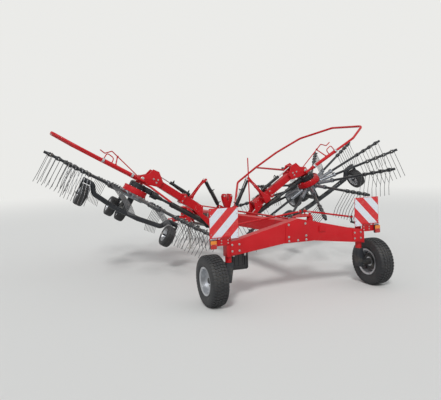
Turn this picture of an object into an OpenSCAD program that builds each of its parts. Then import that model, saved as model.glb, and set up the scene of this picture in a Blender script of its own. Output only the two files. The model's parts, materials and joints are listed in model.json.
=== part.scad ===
// Twin rotor hay rake, trailed, with a steered rear axle and two folding booms.
// Millimetres. +X is the rake's right, +Y is forward, +Z is up, and z = 0 is the ground.
// The origin is the ground point under the middle of the machine's outline.
// Part modules are drawn with y = 0 at the road axle, and placed() sets them in the machine.

/* [Road axle] */
// Distance from the outline's middle back to the road axle
axle_back = 2330; // [2300:1:2360]
// Spacing of the two road wheels, centre to centre
track = 2740; // [2700:5:2800]
// Outer diameter of a road tyre
tyre_d = 730; // [700:5:760]
// Width of a road tyre
tyre_w = 250; // [200:5:260]
// Diameter of the road rim at its flange
rim_d = 410; // [380:5:430]
// Spacing of the two kingpins
kingpin_span = 2220; // [2180:5:2240]
// Thickness of the cranked axle beam, front to back
axle_t = 140; // [110:2:160]
// Height of the axle beam's peak
axle_peak_z = 1150; // [1120:5:1180]
// Height of the axle beam's ends
axle_end_z = 900; // [880:5:920]

/* [Main frame] */
// Width of the main box beam
main_w = 180; // [150:5:200]
// Depth of the main box beam
main_d = 200; // [170:5:220]
// Height of the main beam's top at the road axle
main_top_z = 1100; // [1080:5:1120]
// Fall of the main beam towards the hitch, per metre
main_fall = 45; // [40:1:50]
// Distance from the road axle to the hitch pivot
hitch_y = 4700; // [4600:10:4800]
// Diameter of the vertical hitch pivot
hitch_pin_d = 60; // [50:1:70]
// Spacing of the lower link pins, centre to centre
link_span = 825; // [780:5:870]
// Diameter of the lower link pins
link_pin_d = 28; // [22:0.1:36.6]
// Height of the lower link pins
link_z = 640; // [600:5:700]

/* [Booms] */
// Distance from the road axle to the boom pivots and rotor centres
boom_y = 2480; // [2440:10:2520]
// Sideways place of a boom pivot
pivot_x = 340; // [320:5:360]
// Height of a boom pivot
pivot_z = 760; // [740:5:780]
// Diameter of a boom pivot pin
pivot_d = 50; // [40:1:60]
// Angle of the raised booms above level
boom_tilt = 33.9; // [30:0.1:36]
// Angle of the raised rotors above level
rotor_tilt = 29.4; // [26:0.1:32]
// Angle by which a raised rotor's front hangs higher than its rear
rotor_pitch = 3.1; // [0:0.1:4]
// Outer size of the square outer boom tube
boom_w = 160; // [140:2:180]
// Height of the boom tube's axis over its pivot, square to the boom
boom_rise = 150; // [140:2:160]
// Where the outer boom tube ends, along the boom
collar_u = 840; // [800:5:880]
// Outer size of the square sliding tube
inner_w = 130; // [110:2:136]
// Stroke of the sliding tube
reach_stroke = 250; // [150:10:250]
// Distance of the lift cylinders' planes from the booms' middle
lift_plane = 170; // [168:1:180]

/* [Rotors] */
// Place of the rotor centre along the boom
rotor_u = 1680; // [1660:5:1700]
// Depth of the rotor centre under the pivot line
rotor_drop = 298; // [290:1:310]
// Number of arms on a rotor
arm_count = 13; // [11:1:13]
// Radius of a rotor at its arm ends
arm_r = 1800; // [1700:10:1820]
// Diameter of an arm's tube
arm_d = 48; // [42:1:52]
// Angle of the first arm ahead of straight out
arm_phase = 19; // [0:1:27]
// Radius of the innermost tine
tine_r0 = 1220; // [1215:5:1240]
// Spacing of the tines along an arm
tine_pitch = 158; // [140:2:165]
// Number of double tines on an arm
tine_count = 4; // [3:1:4]
// Spacing of the two wires of a tine
tine_gap = 80; // [60:2:84]
// Length of a tine's upper leg
tine_leg = 370; // [320:5:380]
// Length of a tine's bent tip
tine_tip = 165; // [120:5:170]
// Diameter of tine wire
tine_wire = 9.5; // [8:0.5:10]

/* [Rotor chassis] */
// Diameter of a chassis tyre
small_d = 400; // [380:5:410]
// Width of a chassis tyre
small_w = 165; // [140:5:170]
// Depth of the chassis wheel centres under the arms
small_drop = 381; // [376:1:390]
// Sideways place of the rear chassis wheels
small_s = 880; // [860:5:890]
// Place of the rear chassis wheels behind the rotor centre
small_back = 250; // [230:5:270]
// Place of the castor pivot ahead of the rotor centre
castor_y = 815; // [800:5:820]
// Trail of the castor wheels behind their pivot
castor_trail = 80; // [70:5:85]
// Diameter of the chassis tubes
chassis_d = 90; // [76:2:92]

/* [Details] */
// Side of a square warning board
board_w = 443; // [420:1:450]
// Sideways place of a warning board's middle
board_x = 1200; // [1180:5:1220]
// Height of a warning board's lower edge
board_z = 950; // [940:5:970]
// Diameter of the guard rails
guard_d = 48; // [38:1:52]
// Height of the guard rails over the arms
guard_h = 360; // [350:5:380]

/* [Hidden] */
$fn = 32;
fit = 0.3;
sides = [["l", -1], ["r", 1]];
beam_top = main_top_z - main_fall*boom_y/1000;
hitch_top = main_top_z - main_fall*hitch_y/1000;
axle_front = axle_t/2 - 10;
axle_half = kingpin_span/2;
tyre_z = tyre_d/2;
link_y = hitch_y + 260;
jack_y = 4330;
jack_x = -main_w/2 - 60;
jack_d = 60;

// Steering: the bellcrank halves the headstock's turn, and the tie rods stay parallel
bell_x = 400;
bell_y = 235;
bell_z = 1122;
bell_pin = 36;
rod_x = 120;
tie_arm = 200;
tie_off = 40;
rod_pin = 20;
rod_gap = 4;

// Places on the boom, as distance along it and height over its pivot line
root_u = 400;
inner_u = 450;
lever_u = [570, 680];
lever_tip = [535, 725];
lever_gap = 40;
lever_t = 12;
reach_w = boom_rise + boom_w/2 + 55;
reach_block_u = 1500;
gimbal_h = 357;
gimbal_d = 40;
head_turn = boom_tilt - rotor_tilt;
gimbal = [rotor_u + gimbal_h*sin(head_turn), -rotor_drop + gimbal_h*cos(head_turn)];
bracket_y = 105;
bracket_t = 20;

// Lift cylinder, from the ears on the main beam to the tip of the boom's lever
lift_pin = [100, 1100];
lift_pin_d = 30;
tip_x = pivot_x + lever_tip.x*cos(boom_tilt) - lever_tip.y*sin(boom_tilt);
tip_z = pivot_z + lever_tip.x*sin(boom_tilt) + lever_tip.y*cos(boom_tilt);
lift_len = norm([tip_x - lift_pin.x, tip_z - lift_pin.y]);
lift_angle = atan2(tip_z - lift_pin.y, tip_x - lift_pin.x);
barrel_len = 400;

// Drive shaft under the boom, from the pivot line to the rotor's gearbox
shaft_end = [1416, -90];
shaft_len = norm(shaft_end);
shaft_tilt = atan2(shaft_end.y, shaft_end.x);
shaft_d = 50;
guard_tube_d = 100;
joint_d = 60;
box_z = 690;
drive_z = 560;
drive_d = 70;
stub_d = 35;

// Rotor and chassis, in the rotor's frame
arm_step = 360/arm_count;
hub_bore = 120;
socket_r = 560;
cover_z = 62;
box_top = 256;
over_tyre = -small_drop + small_d/2 + chassis_d/2 + 8;
castor_top = over_tyre - 50 - fit;
wheel_pin = 30;

// The height of the main beam's top at a distance ahead of the axle
function main_top(y) = main_top_z - main_fall*y/1000;

module placed() translate([0, -axle_back, 0]) children();

// Draws for the right side, and mirrored for the left
module on_side(side) {
    if (side < 0) mirror([1, 0, 0]) children();
    else children();
}

// A flat plate in the X-Z plane, centred on y
module plate_xz(points, y, t) {
    translate([0, y + t/2, 0]) rotate([90, 0, 0]) linear_extrude(t) polygon(points);
}

// A flat plate in the Y-Z plane, centred on x
module plate_yz(points, x, t) {
    translate([x - t/2, 0, 0]) rotate([90, 0, 90]) linear_extrude(t) polygon(points);
}

// A round bar between two points
module bar(a, b, d) {
    v = b - a;
    translate(a) rotate([0, acos(v.z/norm(v)), atan2(v.y, v.x)]) cylinder(h = norm(v), d = d);
}

// A round tube bent along points, each bend an arc of radius r. A bend is 1 mm thicker than
// its straights, which end inside it
function unit(v) = v/norm(v);
module tube_bend(p, before, after, d, r) {
    turn = acos(before*after);
    inward = unit(after - before*(before*after));
    normal = unit(cross(before, after));
    tilt = acos(normal.z);
    swing = atan2(normal.y, normal.x);
    side = [-sin(swing), cos(swing), 0];
    roll = atan2(-inward*side, -inward*[cos(tilt)*cos(swing), cos(tilt)*sin(swing), -sin(tilt)]);
    translate(p - before*r*tan(turn/2) + inward*r) rotate([0, tilt, swing]) rotate([0, 0, roll])
        rotate_extrude(angle = turn) translate([r, 0]) circle(d = d + 1);
}
module bent_tube(points, d, r) {
    last = len(points) - 1;
    way = [for (i = [0:last - 1]) unit(points[i + 1] - points[i])];
    cut = [0, for (i = [1:last - 1]) r*tan(acos(way[i - 1]*way[i])/2) - 3, 0];
    for (i = [0:last - 1]) bar(points[i] + way[i]*cut[i], points[i + 1] - way[i]*cut[i + 1], d);
    for (i = [1:last - 1]) tube_bend(points[i], way[i - 1], way[i], d, r);
}

// Round bodies along Y and along X, centred on a point
module along_y(p, h, d) translate(p) rotate([90, 0, 0]) cylinder(h = h, d = d, center = true);
module along_x(p, h, d) translate(p) rotate([0, 90, 0]) cylinder(h = h, d = d, center = true);

// A round body along X that starts at a point
module from_x(p, h, d) translate(p) rotate([0, 90, 0]) cylinder(h = h, d = d);

// The right boom's frame: x runs out along the boom, z square to it, at the pivot
module in_boom() translate([pivot_x, boom_y, pivot_z]) rotate([0, -boom_tilt, 0]) children();

// The frame of the right rotor's mounting, at the rotor's centre
module in_head() in_boom() translate([rotor_u, 0, -rotor_drop]) rotate([0, head_turn, 0]) children();

// The right rotor's frame: z is the rotor's axis, and z = 0 is the plane of its arms
module in_rotor() in_head() rotate([rotor_pitch, 0, 0]) children();

// The right drive shaft's frame: x runs from the boom's pivot line to the rotor's gearbox
module in_shaft() in_boom() rotate([0, -shaft_tilt, 0]) children();

// Main frame: box beam, boom consoles, lift ears, post, hitch tube and jack sleeve
console_y = 150;
console_t = 20;
trunnion_y = 130;
ear_gap = 25;
ear_t = 12;
module console_plate(y) {
    plate_xz([[-pivot_x - 60, pivot_z + 40], [-pivot_x - 60, pivot_z - 40], [-pivot_x + 10, pivot_z - 65],
        [-main_w/2, pivot_z + 10], [main_w/2, pivot_z + 10], [pivot_x - 10, pivot_z - 65],
        [pivot_x + 60, pivot_z - 40], [pivot_x + 60, pivot_z + 40], [main_w/2, beam_top - 20],
        [-main_w/2, beam_top - 20]], y, console_t);
}
module lift_ears(side) on_side(side) {
    y = boom_y - side*lift_plane;
    for (dy = [-1, 1]*(ear_gap + ear_t/2)) plate_xz([[-main_w/2, beam_top - 20], [65, beam_top - 20],
        [65, lift_pin.y - 45], [lift_pin.x + 20, lift_pin.y - 40], [lift_pin.x + 45, lift_pin.y],
        [lift_pin.x + 20, lift_pin.y + 40], [lift_pin.x - 20, lift_pin.y + 40],
            [-main_w/2, beam_top + 60]],
        y + dy, ear_t);
    along_y([lift_pin.x, y, lift_pin.y], 2*(ear_gap + ear_t) + 12, lift_pin_d);
}
module main_beam() {
    front = hitch_y - 0.75*hitch_pin_d;
    difference() {
        union() {
            plate_yz([[axle_front, main_top(0) - 280], [axle_front, main_top(60)],
                [front, main_top(front)],
                [front, main_top(front) - main_d], [700, main_top(700) - main_d]], 0, main_w);
            translate([0, hitch_y, hitch_top - main_d - 20]) cylinder(h = main_d + 30, d = 2*hitch_pin_d);
        }
        translate([0, hitch_y, 0]) cylinder(h = 2000, d = hitch_pin_d + 2*fit);
    }
}
module jack_sleeve() {
    translate([-main_w/2 - 28, jack_y - 40, 720]) cube([33, 80, 150]);
    difference() {
        translate([jack_x, jack_y, 620]) cylinder(h = 340, d = jack_d + 18);
        translate([jack_x, jack_y, 0]) cylinder(h = 2000, d = jack_d + 2*fit);
    }
}
module drive_hanger() difference() {
    union() {
        along_y([0, jack_y + 180, drive_z], 60, 110);
        translate([-30, jack_y + 160, drive_z + 40]) cube([60, 40, main_top(jack_y) - main_d - drive_z]);
    }
    along_y([0, jack_y + 180, drive_z], 100, stub_d + 15 + 2*fit);
}
module main_frame() color("#c8141c") placed() {
    main_beam();
    for (y = [-1, 1]*console_y) console_plate(boom_y + y);
    for (x = [-1, 1]*pivot_x) for (y = [-1, 1]*trunnion_y) along_y([x, boom_y + y, pivot_z], 80, pivot_d);
    for (side = [-1, 1]) lift_ears(side);
    translate([-45, boom_y - 45, beam_top - 20]) cube([90, 90, lift_pin.y - beam_top + 20]);
    for (x = [-1, 1]*35) plate_yz([[boom_y - 40, lift_pin.y - 30], [boom_y + 40, lift_pin.y - 30],
        [boom_y + 30, lift_pin.y + 270], [boom_y - 30, lift_pin.y + 270]], x, 16);
    jack_sleeve();
    drive_hanger();
}

// Rear axle: the cranked beam with its kingpin housings, end plates and bellcrank post
housing_z = [600, 970];
module rear_axle() color("#cf151d") placed() {
    difference() {
        union() {
            plate_xz([[-axle_half - 50, 690], [-axle_half - 50, axle_end_z],
                [150 - axle_half, axle_end_z + 25], [0, axle_peak_z],
                [axle_half - 150, axle_end_z + 25], [axle_half + 50, axle_end_z], [axle_half + 50, 690],
                [260, 800], [-260, 800]], -10, axle_t);
            for (s = [-1, 1]) translate([s*axle_half, 0, housing_z[0]])
                cylinder(h = housing_z[1] - housing_z[0], d = 92);
        }
        for (s = [-1, 1]) translate([s*axle_half, 0, 0]) cylinder(h = 2000, d = 50 + 2*fit);
    }
    for (s = [-1, 1]) translate([s*(axle_half - 80) - 80, -axle_t/2 - 22, 720]) cube([160, 12, 190]);
    translate([bell_x - 45, axle_front - 5, 960]) cube([90, bell_y - axle_front + 40, 50]);
    translate([bell_x, bell_y, 1000]) cylinder(h = bell_z - fit - 1000, d = 60);
    translate([bell_x, bell_y, 1000]) cylinder(h = bell_z - 1000 + 60, d = bell_pin);
}

// Warning boards: two square sheets behind the axle
board_y = -axle_t/2 - 26;
module warning_boards() color("#e8e8e8") placed() for (side = [-1, 1]) on_side(side)
    translate([board_x - board_w/2, board_y, board_z]) cube([board_w, 4, board_w]);

// Lamps with the brackets that carry them and the boards
module lamps() color("#d01018") placed() for (side = [-1, 1]) on_side(side) {
    translate([axle_half + 2, board_y + 4, board_z - 90]) cube([board_x + 208 - axle_half,
        -axle_t/2 - 10 - board_y - 4, 130]);
    for (z = [board_z - 120, board_z - 58]) translate([board_x + 130, board_y - 34, z]) cube([95, 38, 55]);
}

// Wheel chock in its holder on the axle's front face
module wheel_chock() color("#1c1d1f") placed()
    translate([60 - axle_half, axle_front, 460]) cube([280, 55, 300]);

// Central gearbox under the main beam, with a ball-ended stub to each boom's pivot line
module central_gearbox() color("#26282b") placed() {
    translate([-110, boom_y - 90, box_z - 70]) cube([220, 180, 140]);
    translate([-60, boom_y - 60, box_z + 60]) cube([120, 120,
        main_top(boom_y + 60) - main_d - box_z - 60 - fit]);
    along_x([0, boom_y, box_z], 300, 90);
    for (s = [-1, 1]) {
        bar([s*140, boom_y, box_z], [s*pivot_x, boom_y, pivot_z], joint_d - 16);
        translate([s*pivot_x, boom_y, pivot_z]) sphere(d = joint_d);
    }
    along_y([0, boom_y + 120, box_z], 80, 100);
}

// Guarded drive line from the hitch to the central gearbox
module drive_line() color("#1d1f21") placed() {
    start = boom_y + 163;
    end = jack_y + 110;
    bar([0, start, box_z], [0, end, drive_z], drive_d);
    bar([0, end - 20, drive_z], [0, jack_y + 210, drive_z], stub_d + 15);
    bar([0, jack_y + 209, drive_z], [0, end + 200, drive_z], stub_d);
}

// Headstock with the two lower link pins
module headstock() color("#c8141c") placed() {
    low = hitch_top - main_d - 62;
    translate([0, hitch_y, low]) cylinder(h = main_d + 110, d = hitch_pin_d);
    for (z = [low, hitch_top + 12]) translate([0, hitch_y, z]) linear_extrude(36)
        polygon([[-70, -60], [70, -60], [70, 20], [180, 170], [-180, 170], [-70, 20]]);
    translate([-170, hitch_y + 150, low]) cube([340, 40, main_d + 110]);
    translate([-link_span/2 + 60, hitch_y + 170, link_z - 60]) cube([link_span - 120, 100, 120]);
    for (s = [-1, 1]) {
        along_x([s*link_span/2, link_y, link_z], 130, link_pin_d);
        translate([s*(link_span/2 - 64) - 12, hitch_y + 170, link_z - 70]) cube([24, 150, 140]);
    }
    translate([40, hitch_y - 22, hitch_top + 47]) cube([rod_x + 6, 44, 15]);
    translate([rod_x + 6, hitch_y, hitch_top + 50])
        cylinder(h = rod_front_z - 13 - rod_gap - hitch_top - 50, d = rod_pin);
}

// Parking jack: the foot is down, as the rake stands parked
module parking_jack() color("#3b3e42") placed() translate([jack_x, jack_y, 0]) {
    cylinder(h = 14, d = 170);
    translate([0, 0, 10]) cylinder(h = 970, d = jack_d);
    translate([0, 0, 975]) cylinder(h = 40, d = 40);
}

// Steering bellcrank plate over the rear axle
module bellcrank() color("#c8141c") placed() {
    difference() {
        translate([0, 0, bell_z]) linear_extrude(16) polygon([[rod_x - 25, bell_y - 22],
            [bell_x, bell_y - 50],
            [bell_x + 50, bell_y], [bell_x + tie_off + 25, bell_y + tie_arm + 25],
            [bell_x - tie_off - 25, bell_y + tie_arm + 25], [rod_x - 25, bell_y + 22]]);
        translate([bell_x, bell_y, 0]) cylinder(h = 2000, d = bell_pin + 2*fit);
    }
    translate([rod_x, bell_y, bell_z - 45]) cylinder(h = 46, d = rod_pin);
    for (s = [-1, 1]) translate([bell_x + s*tie_off, bell_y + tie_arm, bell_z + 15])
        cylinder(h = 75, d = rod_pin);
}

// A rod with an eye at each end, its eyes turned about Z
module eye_rod(a, b, d, eye_d) {
    v = (b - a)/norm(b - a);
    difference() {
        union() {
            bar(a + v*eye_d*0.3, b - v*eye_d*0.3, d);
            for (p = [a, b]) translate(p - [0, 0, 13]) cylinder(h = 26, d = eye_d);
        }
        for (p = [a, b]) translate(p - [0, 0, 60]) cylinder(h = 120, d = rod_pin + 2*fit);
    }
}
rod_front_z = hitch_top + 84;
tie_z = bell_z + 62;
arm_z = housing_z[1] + 92;
module steering_rod() color("#c8141c") placed()
    eye_rod([rod_x, bell_y, bell_z - 28], [rod_x + 6, hitch_y, rod_front_z], 30, 44);
module tie_rod(side) color("#c8141c") placed()
    eye_rod([bell_x + side*tie_off, bell_y + tie_arm, tie_z],
        [side*(axle_half + tie_off), tie_arm, arm_z], 28, 42);

// Knuckle: kingpin with steering arm, leg and stub axle
module knuckle(side) color("#2a2c2f") placed() on_side(side) {
    arm = housing_z[1] + fit;
    leg = housing_z[0] - fit;
    translate([axle_half, 0, leg - 20]) cylinder(h = arm + 60 - leg, d = 50);
    translate([axle_half, 0, arm]) linear_extrude(24) polygon([[-38, -38], [38, -38],
        [tie_off + 28, tie_arm],
        [tie_off, tie_arm + 26], [tie_off - 28, tie_arm]]);
    translate([axle_half + tie_off, tie_arm, arm + 20]) cylinder(h = 92, d = rod_pin);
    plate_xz([[axle_half - 50, leg], [axle_half - 50, leg - 110], [axle_half - 20, tyre_z - 55],
        [axle_half + 45, tyre_z - 55], [axle_half + 50, leg]], 0, 100);
    stub_root = axle_half + 35;
    stub_shoulder = track/2 - 75;
    along_x([(stub_root + stub_shoulder)/2, 0, tyre_z], stub_shoulder - stub_root, 90);
    along_x([track/2 - 30, 0, tyre_z], 160, 56);
}

// Road wheel: deep rim with a dished centre, and its tyre
module road_rim(side) color("#b9bcc0") placed() on_side(side)
    translate([track/2, 0, tyre_z]) rotate([0, 90, 0]) rotate_extrude($fn = 48) polygon([
        [28 + fit, 20], [28 + fit, -60], [70, -60], [76, -8], [120, 8], [rim_d/2 - 45, 10],
        [rim_d/2 - 30, -tyre_w/2 + 20], [rim_d/2, -tyre_w/2 + 12], [rim_d/2, -tyre_w/2 + 24],
            [rim_d/2 - 16, -tyre_w/2 + 34],
        [rim_d/2 - 16, tyre_w/2 - 34], [rim_d/2, tyre_w/2 - 24], [rim_d/2, tyre_w/2 - 12],
            [rim_d/2 - 30, tyre_w/2 - 20],
        [rim_d/2 - 34, 30], [120, 22], [70, 20]]);
module road_tyre(side) color("#222326") placed() on_side(side)
    translate([track/2, 0, tyre_z]) rotate([0, 90, 0]) rotate_extrude($fn = 48) polygon([
        [rim_d/2 - 16 + fit, -tyre_w/2 + 34.4], [rim_d/2 + fit, -tyre_w/2 + 24],
            [rim_d/2 + 22, -tyre_w/2 + 4],
        [rim_d/2 + 80, -tyre_w/2],
        [tyre_d/2 - 22, -tyre_w/2 + 10], [tyre_d/2 - 2, -tyre_w/2 + 42], [tyre_d/2, -tyre_w/4],
            [tyre_d/2, tyre_w/4],
        [tyre_d/2 - 2, tyre_w/2 - 42], [tyre_d/2 - 22, tyre_w/2 - 10], [rim_d/2 + 80, tyre_w/2],
        [rim_d/2 + 22, tyre_w/2 - 4], [rim_d/2 + fit, tyre_w/2 - 24],
            [rim_d/2 - 16 + fit, tyre_w/2 - 34.4]]);

// Outer boom: fork at the pivot, square tube, collar and the lift lever
fork_y = 105;
fork_t = 20;
module boom_fork() difference() {
    for (y = [-1, 1]*fork_y) plate_xz([[-55, -30], [-30, -55], [40, -55],
        [root_u + 20, boom_rise - boom_w/2 - 30],
        [root_u + 120, boom_rise - boom_w/2], [root_u + 120, boom_rise + 70], [root_u, boom_rise + 70],
        [330, 95], [40, 60], [-45, 45]], y, fork_t);
    along_y([0, 0, 0], 400, pivot_d + 2*fit);
}
module boom_tube() {
    bottom = boom_rise - boom_w/2;
    difference() {
        translate([root_u, -boom_w/2, bottom]) cube([collar_u - root_u, boom_w, boom_w]);
        translate([root_u + 30, -inner_w/2 - fit, boom_rise - inner_w/2 - fit])
            cube([collar_u, inner_w + 2*fit, inner_w + 2*fit]);
    }
    for (y = [boom_w/2, -boom_w/2 - 16]) translate([root_u, y, boom_rise - 70]) cube([120, 16, 140]);
    difference() {
        translate([collar_u - 60, -boom_w/2 - 16, bottom - 16]) cube([60, boom_w + 32, boom_w + 32]);
        translate([collar_u - 80, -boom_w/2, bottom]) cube([100, boom_w, boom_w]);
    }
}
module lift_lever(side) {
    y = -side*lift_plane;
    reach = lift_plane + lever_gap + lever_t;
    translate([560, side > 0 ? -reach : boom_w/2, boom_rise - 60]) cube([130, reach - boom_w/2, 130]);
    for (dy = [-1, 1]*(lever_gap + lever_t/2)) plate_xz([[lever_u[0], boom_rise + 20],
        [lever_u[1], boom_rise + 20],
        [lever_u[1] - 25, boom_rise + 110], [lever_u[0] + 50, 560], [lever_tip.x + 28, lever_tip.y + 10],
        [lever_tip.x + 12, lever_tip.y + 28], [lever_tip.x - 12, lever_tip.y + 28],
            [lever_tip.x - 28, lever_tip.y],
        [lever_u[0] - 6, 560], [lever_u[0], boom_rise + 110]], y + dy, lever_t);
    for (dy = [-1, 1]*(lever_gap + lever_t + 3)) along_y([lever_tip.x, y + dy, lever_tip.y], 8,
        lift_pin_d + 14);
}
module outer_boom(side) color("#cf151d") placed() on_side(side) in_boom() {
    boom_fork();
    boom_tube();
    lift_lever(side);
}

// Sliding boom: square tube with the end bracket that holds the rotor's gimbal
module inner_boom(side) color("#cf151d") placed() on_side(side) in_boom() {
    end = reach_block_u - 80;
    difference() {
        translate([inner_u, -inner_w/2, boom_rise - inner_w/2]) cube([end - inner_u, inner_w, inner_w]);
        translate([inner_u - 10, -inner_w/2 + 10, boom_rise - inner_w/2 + 10])
            cube([end - inner_u - 70, inner_w - 20, inner_w - 20]);
    }
    for (y = [-1, 1]*(bracket_y + bracket_t/2)) plate_xz([[end - 80, boom_rise - 60],
        [gimbal.x - 150, gimbal.y - 38],
        [gimbal.x - 50, gimbal.y - 48], [gimbal.x + 20, gimbal.y - 45], [gimbal.x + 45, gimbal.y - 18],
        [gimbal.x + 45, gimbal.y + 35], [gimbal.x - 60, gimbal.y + 132], [gimbal.x - 90, gimbal.y + 252],
        [gimbal.x - 210, gimbal.y + 272], [end - 80, boom_rise + 60]], y, bracket_t);
    translate([end - 20, -bracket_y, boom_rise - 65]) cube([20, 2*bracket_y, 160]);
    translate([reach_block_u, -bracket_y, reach_w - 30]) cube([40, 2*bracket_y, 60]);
    along_y([gimbal.x, 0, gimbal.y], 2*(bracket_y + bracket_t) + 1, gimbal_d);
}

// Lift cylinders: barrel on the main beam's ears, rod to the lever's tip
module lift_frame(side) on_side(side) translate([lift_pin.x, boom_y - side*lift_plane, lift_pin.y])
    rotate([0, -lift_angle, 0]) children();
module lift_barrel(side) color("#1b1c1e") placed() lift_frame(side) difference() {
    union() {
        along_y([0, 0, 0], 2*ear_gap - 2, 56);
        from_x([20, 0, 0], 60, 44);
        from_x([58, 0, 0], barrel_len - 58, 70);
    }
    along_y([0, 0, 0], 100, lift_pin_d + 2*fit);
    from_x([66, 0, 0], barrel_len, 36 + 2*fit);
}
module lift_rod(side) color("#c9ccd0") placed() lift_frame(side) difference() {
    union() {
        along_y([lift_len, 0, 0], 2*lever_gap - 4, 56);
        from_x([268, 0, 0], lift_len - 288, 36);
    }
    along_y([lift_len, 0, 0], 100, lift_pin_d + 2*fit);
}

// Reach cylinders on top of the booms
module reach_barrel(side) color("#1b1c1e") placed() on_side(side) in_boom() {
    difference() {
        from_x([720, 0, reach_w], 460, 60);
        from_x([760, 0, reach_w], 460, 32 + 2*fit);
    }
    translate([720, -25, boom_rise + boom_w/2]) cube([50, 50, 40]);
}
module reach_rod(side) color("#c9ccd0") placed() on_side(side) in_boom()
    from_x([790, 0, reach_w], reach_block_u - 790 - fit, 32);

// Drive shafts under the booms: the guard tube is wide enough for the sliding half to drift in it
module shaft_tube(side) color("#18191b") placed() on_side(side) in_shaft() difference() {
    union() {
        from_x([14, 0, 0], 60, joint_d + 16);
        from_x([60, 0, 0], 900, guard_tube_d);
    }
    from_x([200, 0, 0], 900, guard_tube_d - 8);
    sphere(d = joint_d + 2*fit);
}

// Rotor gearbox with the bell and the sliding half of the drive shaft
module rotor_gearbox(side) color("#202225") placed() on_side(side) {
    in_shaft() {
        from_x([560, 0, 0], shaft_len - 560, shaft_d);
        from_x([shaft_len - 150, 0, 0], 110, 130);
    }
    in_head() from_x([-285, 0, 207], 200, 106);
    in_rotor() translate([0, 0, cover_z + 84]) cylinder(h = box_top - cover_z - 84, d = 290);
}

// Rotor head: gimbal block, column, the cam's cover and the crank that sets the rotor's height
module rotor_head(side) color("#cf151d") placed() on_side(side) {
    in_rotor() {
        translate([0, 0, cover_z]) cylinder(h = 84, d = 450);
        translate([0, 0, box_top]) cylinder(h = gimbal_h - box_top - 35, d = 150);
    }
    in_head() {
        difference() {
            translate([-55, -bracket_y + 10, gimbal_h - 51]) cube([110, 2*bracket_y - 20, 100]);
            along_y([0, 0, gimbal_h], 300, gimbal_d + 2*fit);
        }
        bent_tube([[45, 60, gimbal_h + 13], [700, 60, 566], [800, 60, 470], [906, 60, 490]], 20, 30);
    }
}

// Rotor hub with a socket for each arm
module each_arm() for (i = [0:arm_count - 1]) rotate([0, 0, arm_phase - i*arm_step]) children();
module rotor_hub(side) color("#a9adb1") placed() on_side(side) in_rotor() difference() {
    union() {
        translate([0, 0, -55]) cylinder(h = 110, d = 420);
        each_arm() from_x([180, 0, 0], socket_r - 180, 66);
    }
    translate([0, 0, -80]) cylinder(h = 200, d = hub_bore + 2*fit);
}
module rotor_arms(side) color("#2b2e32") placed() on_side(side) in_rotor()
    each_arm() from_x([socket_r, 0, 0], arm_r - socket_r, arm_d);

// The cam folds the tines back over the swath: 0 in work, fold_max behind the rotor
fold_max = 62;
function ramp(a, a0, a1) = let (t = min(1, max(0, (a - a0)/(a1 - a0)))) t*t*(3 - 2*t);
function turn_of(a) = (a + 720) % 360;
function fold_at(a) = fold_max*ramp(turn_of(a), 170, 212)*(1 - ramp(turn_of(a), 295, 342));
module tine() {
    difference() {
        along_x([0, 0, 0], tine_gap + 16, arm_d + 20);
        along_x([0, 0, 0], tine_gap + 40, arm_d + 2*fit);
    }
    for (x = [-1, 1]*tine_gap/2) {
        bar([x, -arm_d/2 - 5, 0], [x, -arm_d/2 - 5, -tine_leg], tine_wire, $fn = 6);
        bar([x, -arm_d/2 - 5, -tine_leg + 2],
            [x, -arm_d/2 + 38, -tine_leg - tine_tip], tine_wire, $fn = 6);
    }
}
module tines(side) color("#3a3d41") placed() on_side(side) in_rotor()
    for (i = [0:arm_count - 1]) let (a = arm_phase - i*arm_step) rotate([0, 0, a])
        for (k = [0:tine_count - 1]) translate([tine_r0 + k*tine_pitch, 0, 0]) rotate([-fold_at(a),
            0, 0]) tine();

// Guard rail round the front and outer side of a rotor
rail_y = bracket_y + bracket_t + guard_d/2 + 1;
rail_z = gimbal_h - 27;
function pitched(points) = [for (p = points) [p.x, p.y, p.z + p.y*tan(rotor_pitch)]];
module guard(side) color("#d0151d") placed() on_side(side) in_head() {
    bent_tube(pitched([[-1350, 960, guard_h - 180], [-710, 1740, guard_h - 20], [-80, 1830, guard_h],
        [620, 1880, guard_h], [1290, 1740, guard_h], [1770, 1040, guard_h], [1800, 60, guard_h],
        [1320, -rail_y, guard_h - 20], [-40, -rail_y, rail_z]]), guard_d, 140);
    bent_tube(pitched([[-80, 1830, guard_h], [-60, 400, guard_h],
        [-60, bracket_y + bracket_t + 4, rail_z]]), guard_d - 6, 120);
}

// Rotor chassis: column through the hub, bowed cross tube with wheel legs, beam to the castor
leg_x = small_s + small_w/2 + 12;
module wheel_leg(s) {
    y = -small_back;
    along_x([s*(leg_x - small_w/2 - 12), y, -small_drop], small_w + 50, wheel_pin);
    along_x([s*(leg_x - 30), y, -small_drop], 48, wheel_pin + 14);
    plate_yz([[y - 25, -small_drop - 25], [y + 25, -small_drop - 25], [y + 80, over_tyre - 20],
        [y + 80, over_tyre + 40],
        [y + 5, over_tyre + 40], [y - 5, over_tyre - 20]], s*leg_x, 16);
}
module chassis(side) color("#222528") placed() on_side(side) in_rotor() {
    y = -small_back + 45;
    difference() {
        union() {
            translate([0, 0, -380]) cylinder(h = 380 + cover_z - fit, d = hub_bore);
            bent_tube([[-leg_x + 8, y, over_tyre], [-785, y, over_tyre], [-690, y, -275],
                [-250, -120, -335],
                [250, -120, -335], [690, y, -275], [785, y, over_tyre],
                    [leg_x - 8, y, over_tyre]], chassis_d, 90);
            bent_tube([[0, -100, -330], [0, 330, -320], [0, 470, over_tyre],
                [0, castor_y, over_tyre]], chassis_d, 90);
            translate([0, castor_y, over_tyre - 50]) cylinder(h = 100, d = chassis_d + 8);
        }
        translate([0, castor_y, over_tyre - 100]) cylinder(h = 200, d = wheel_pin + 2*fit);
    }
    for (s = [-1, 1]) wheel_leg(s);
}
twin_x = small_w/2 + 35;
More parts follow.
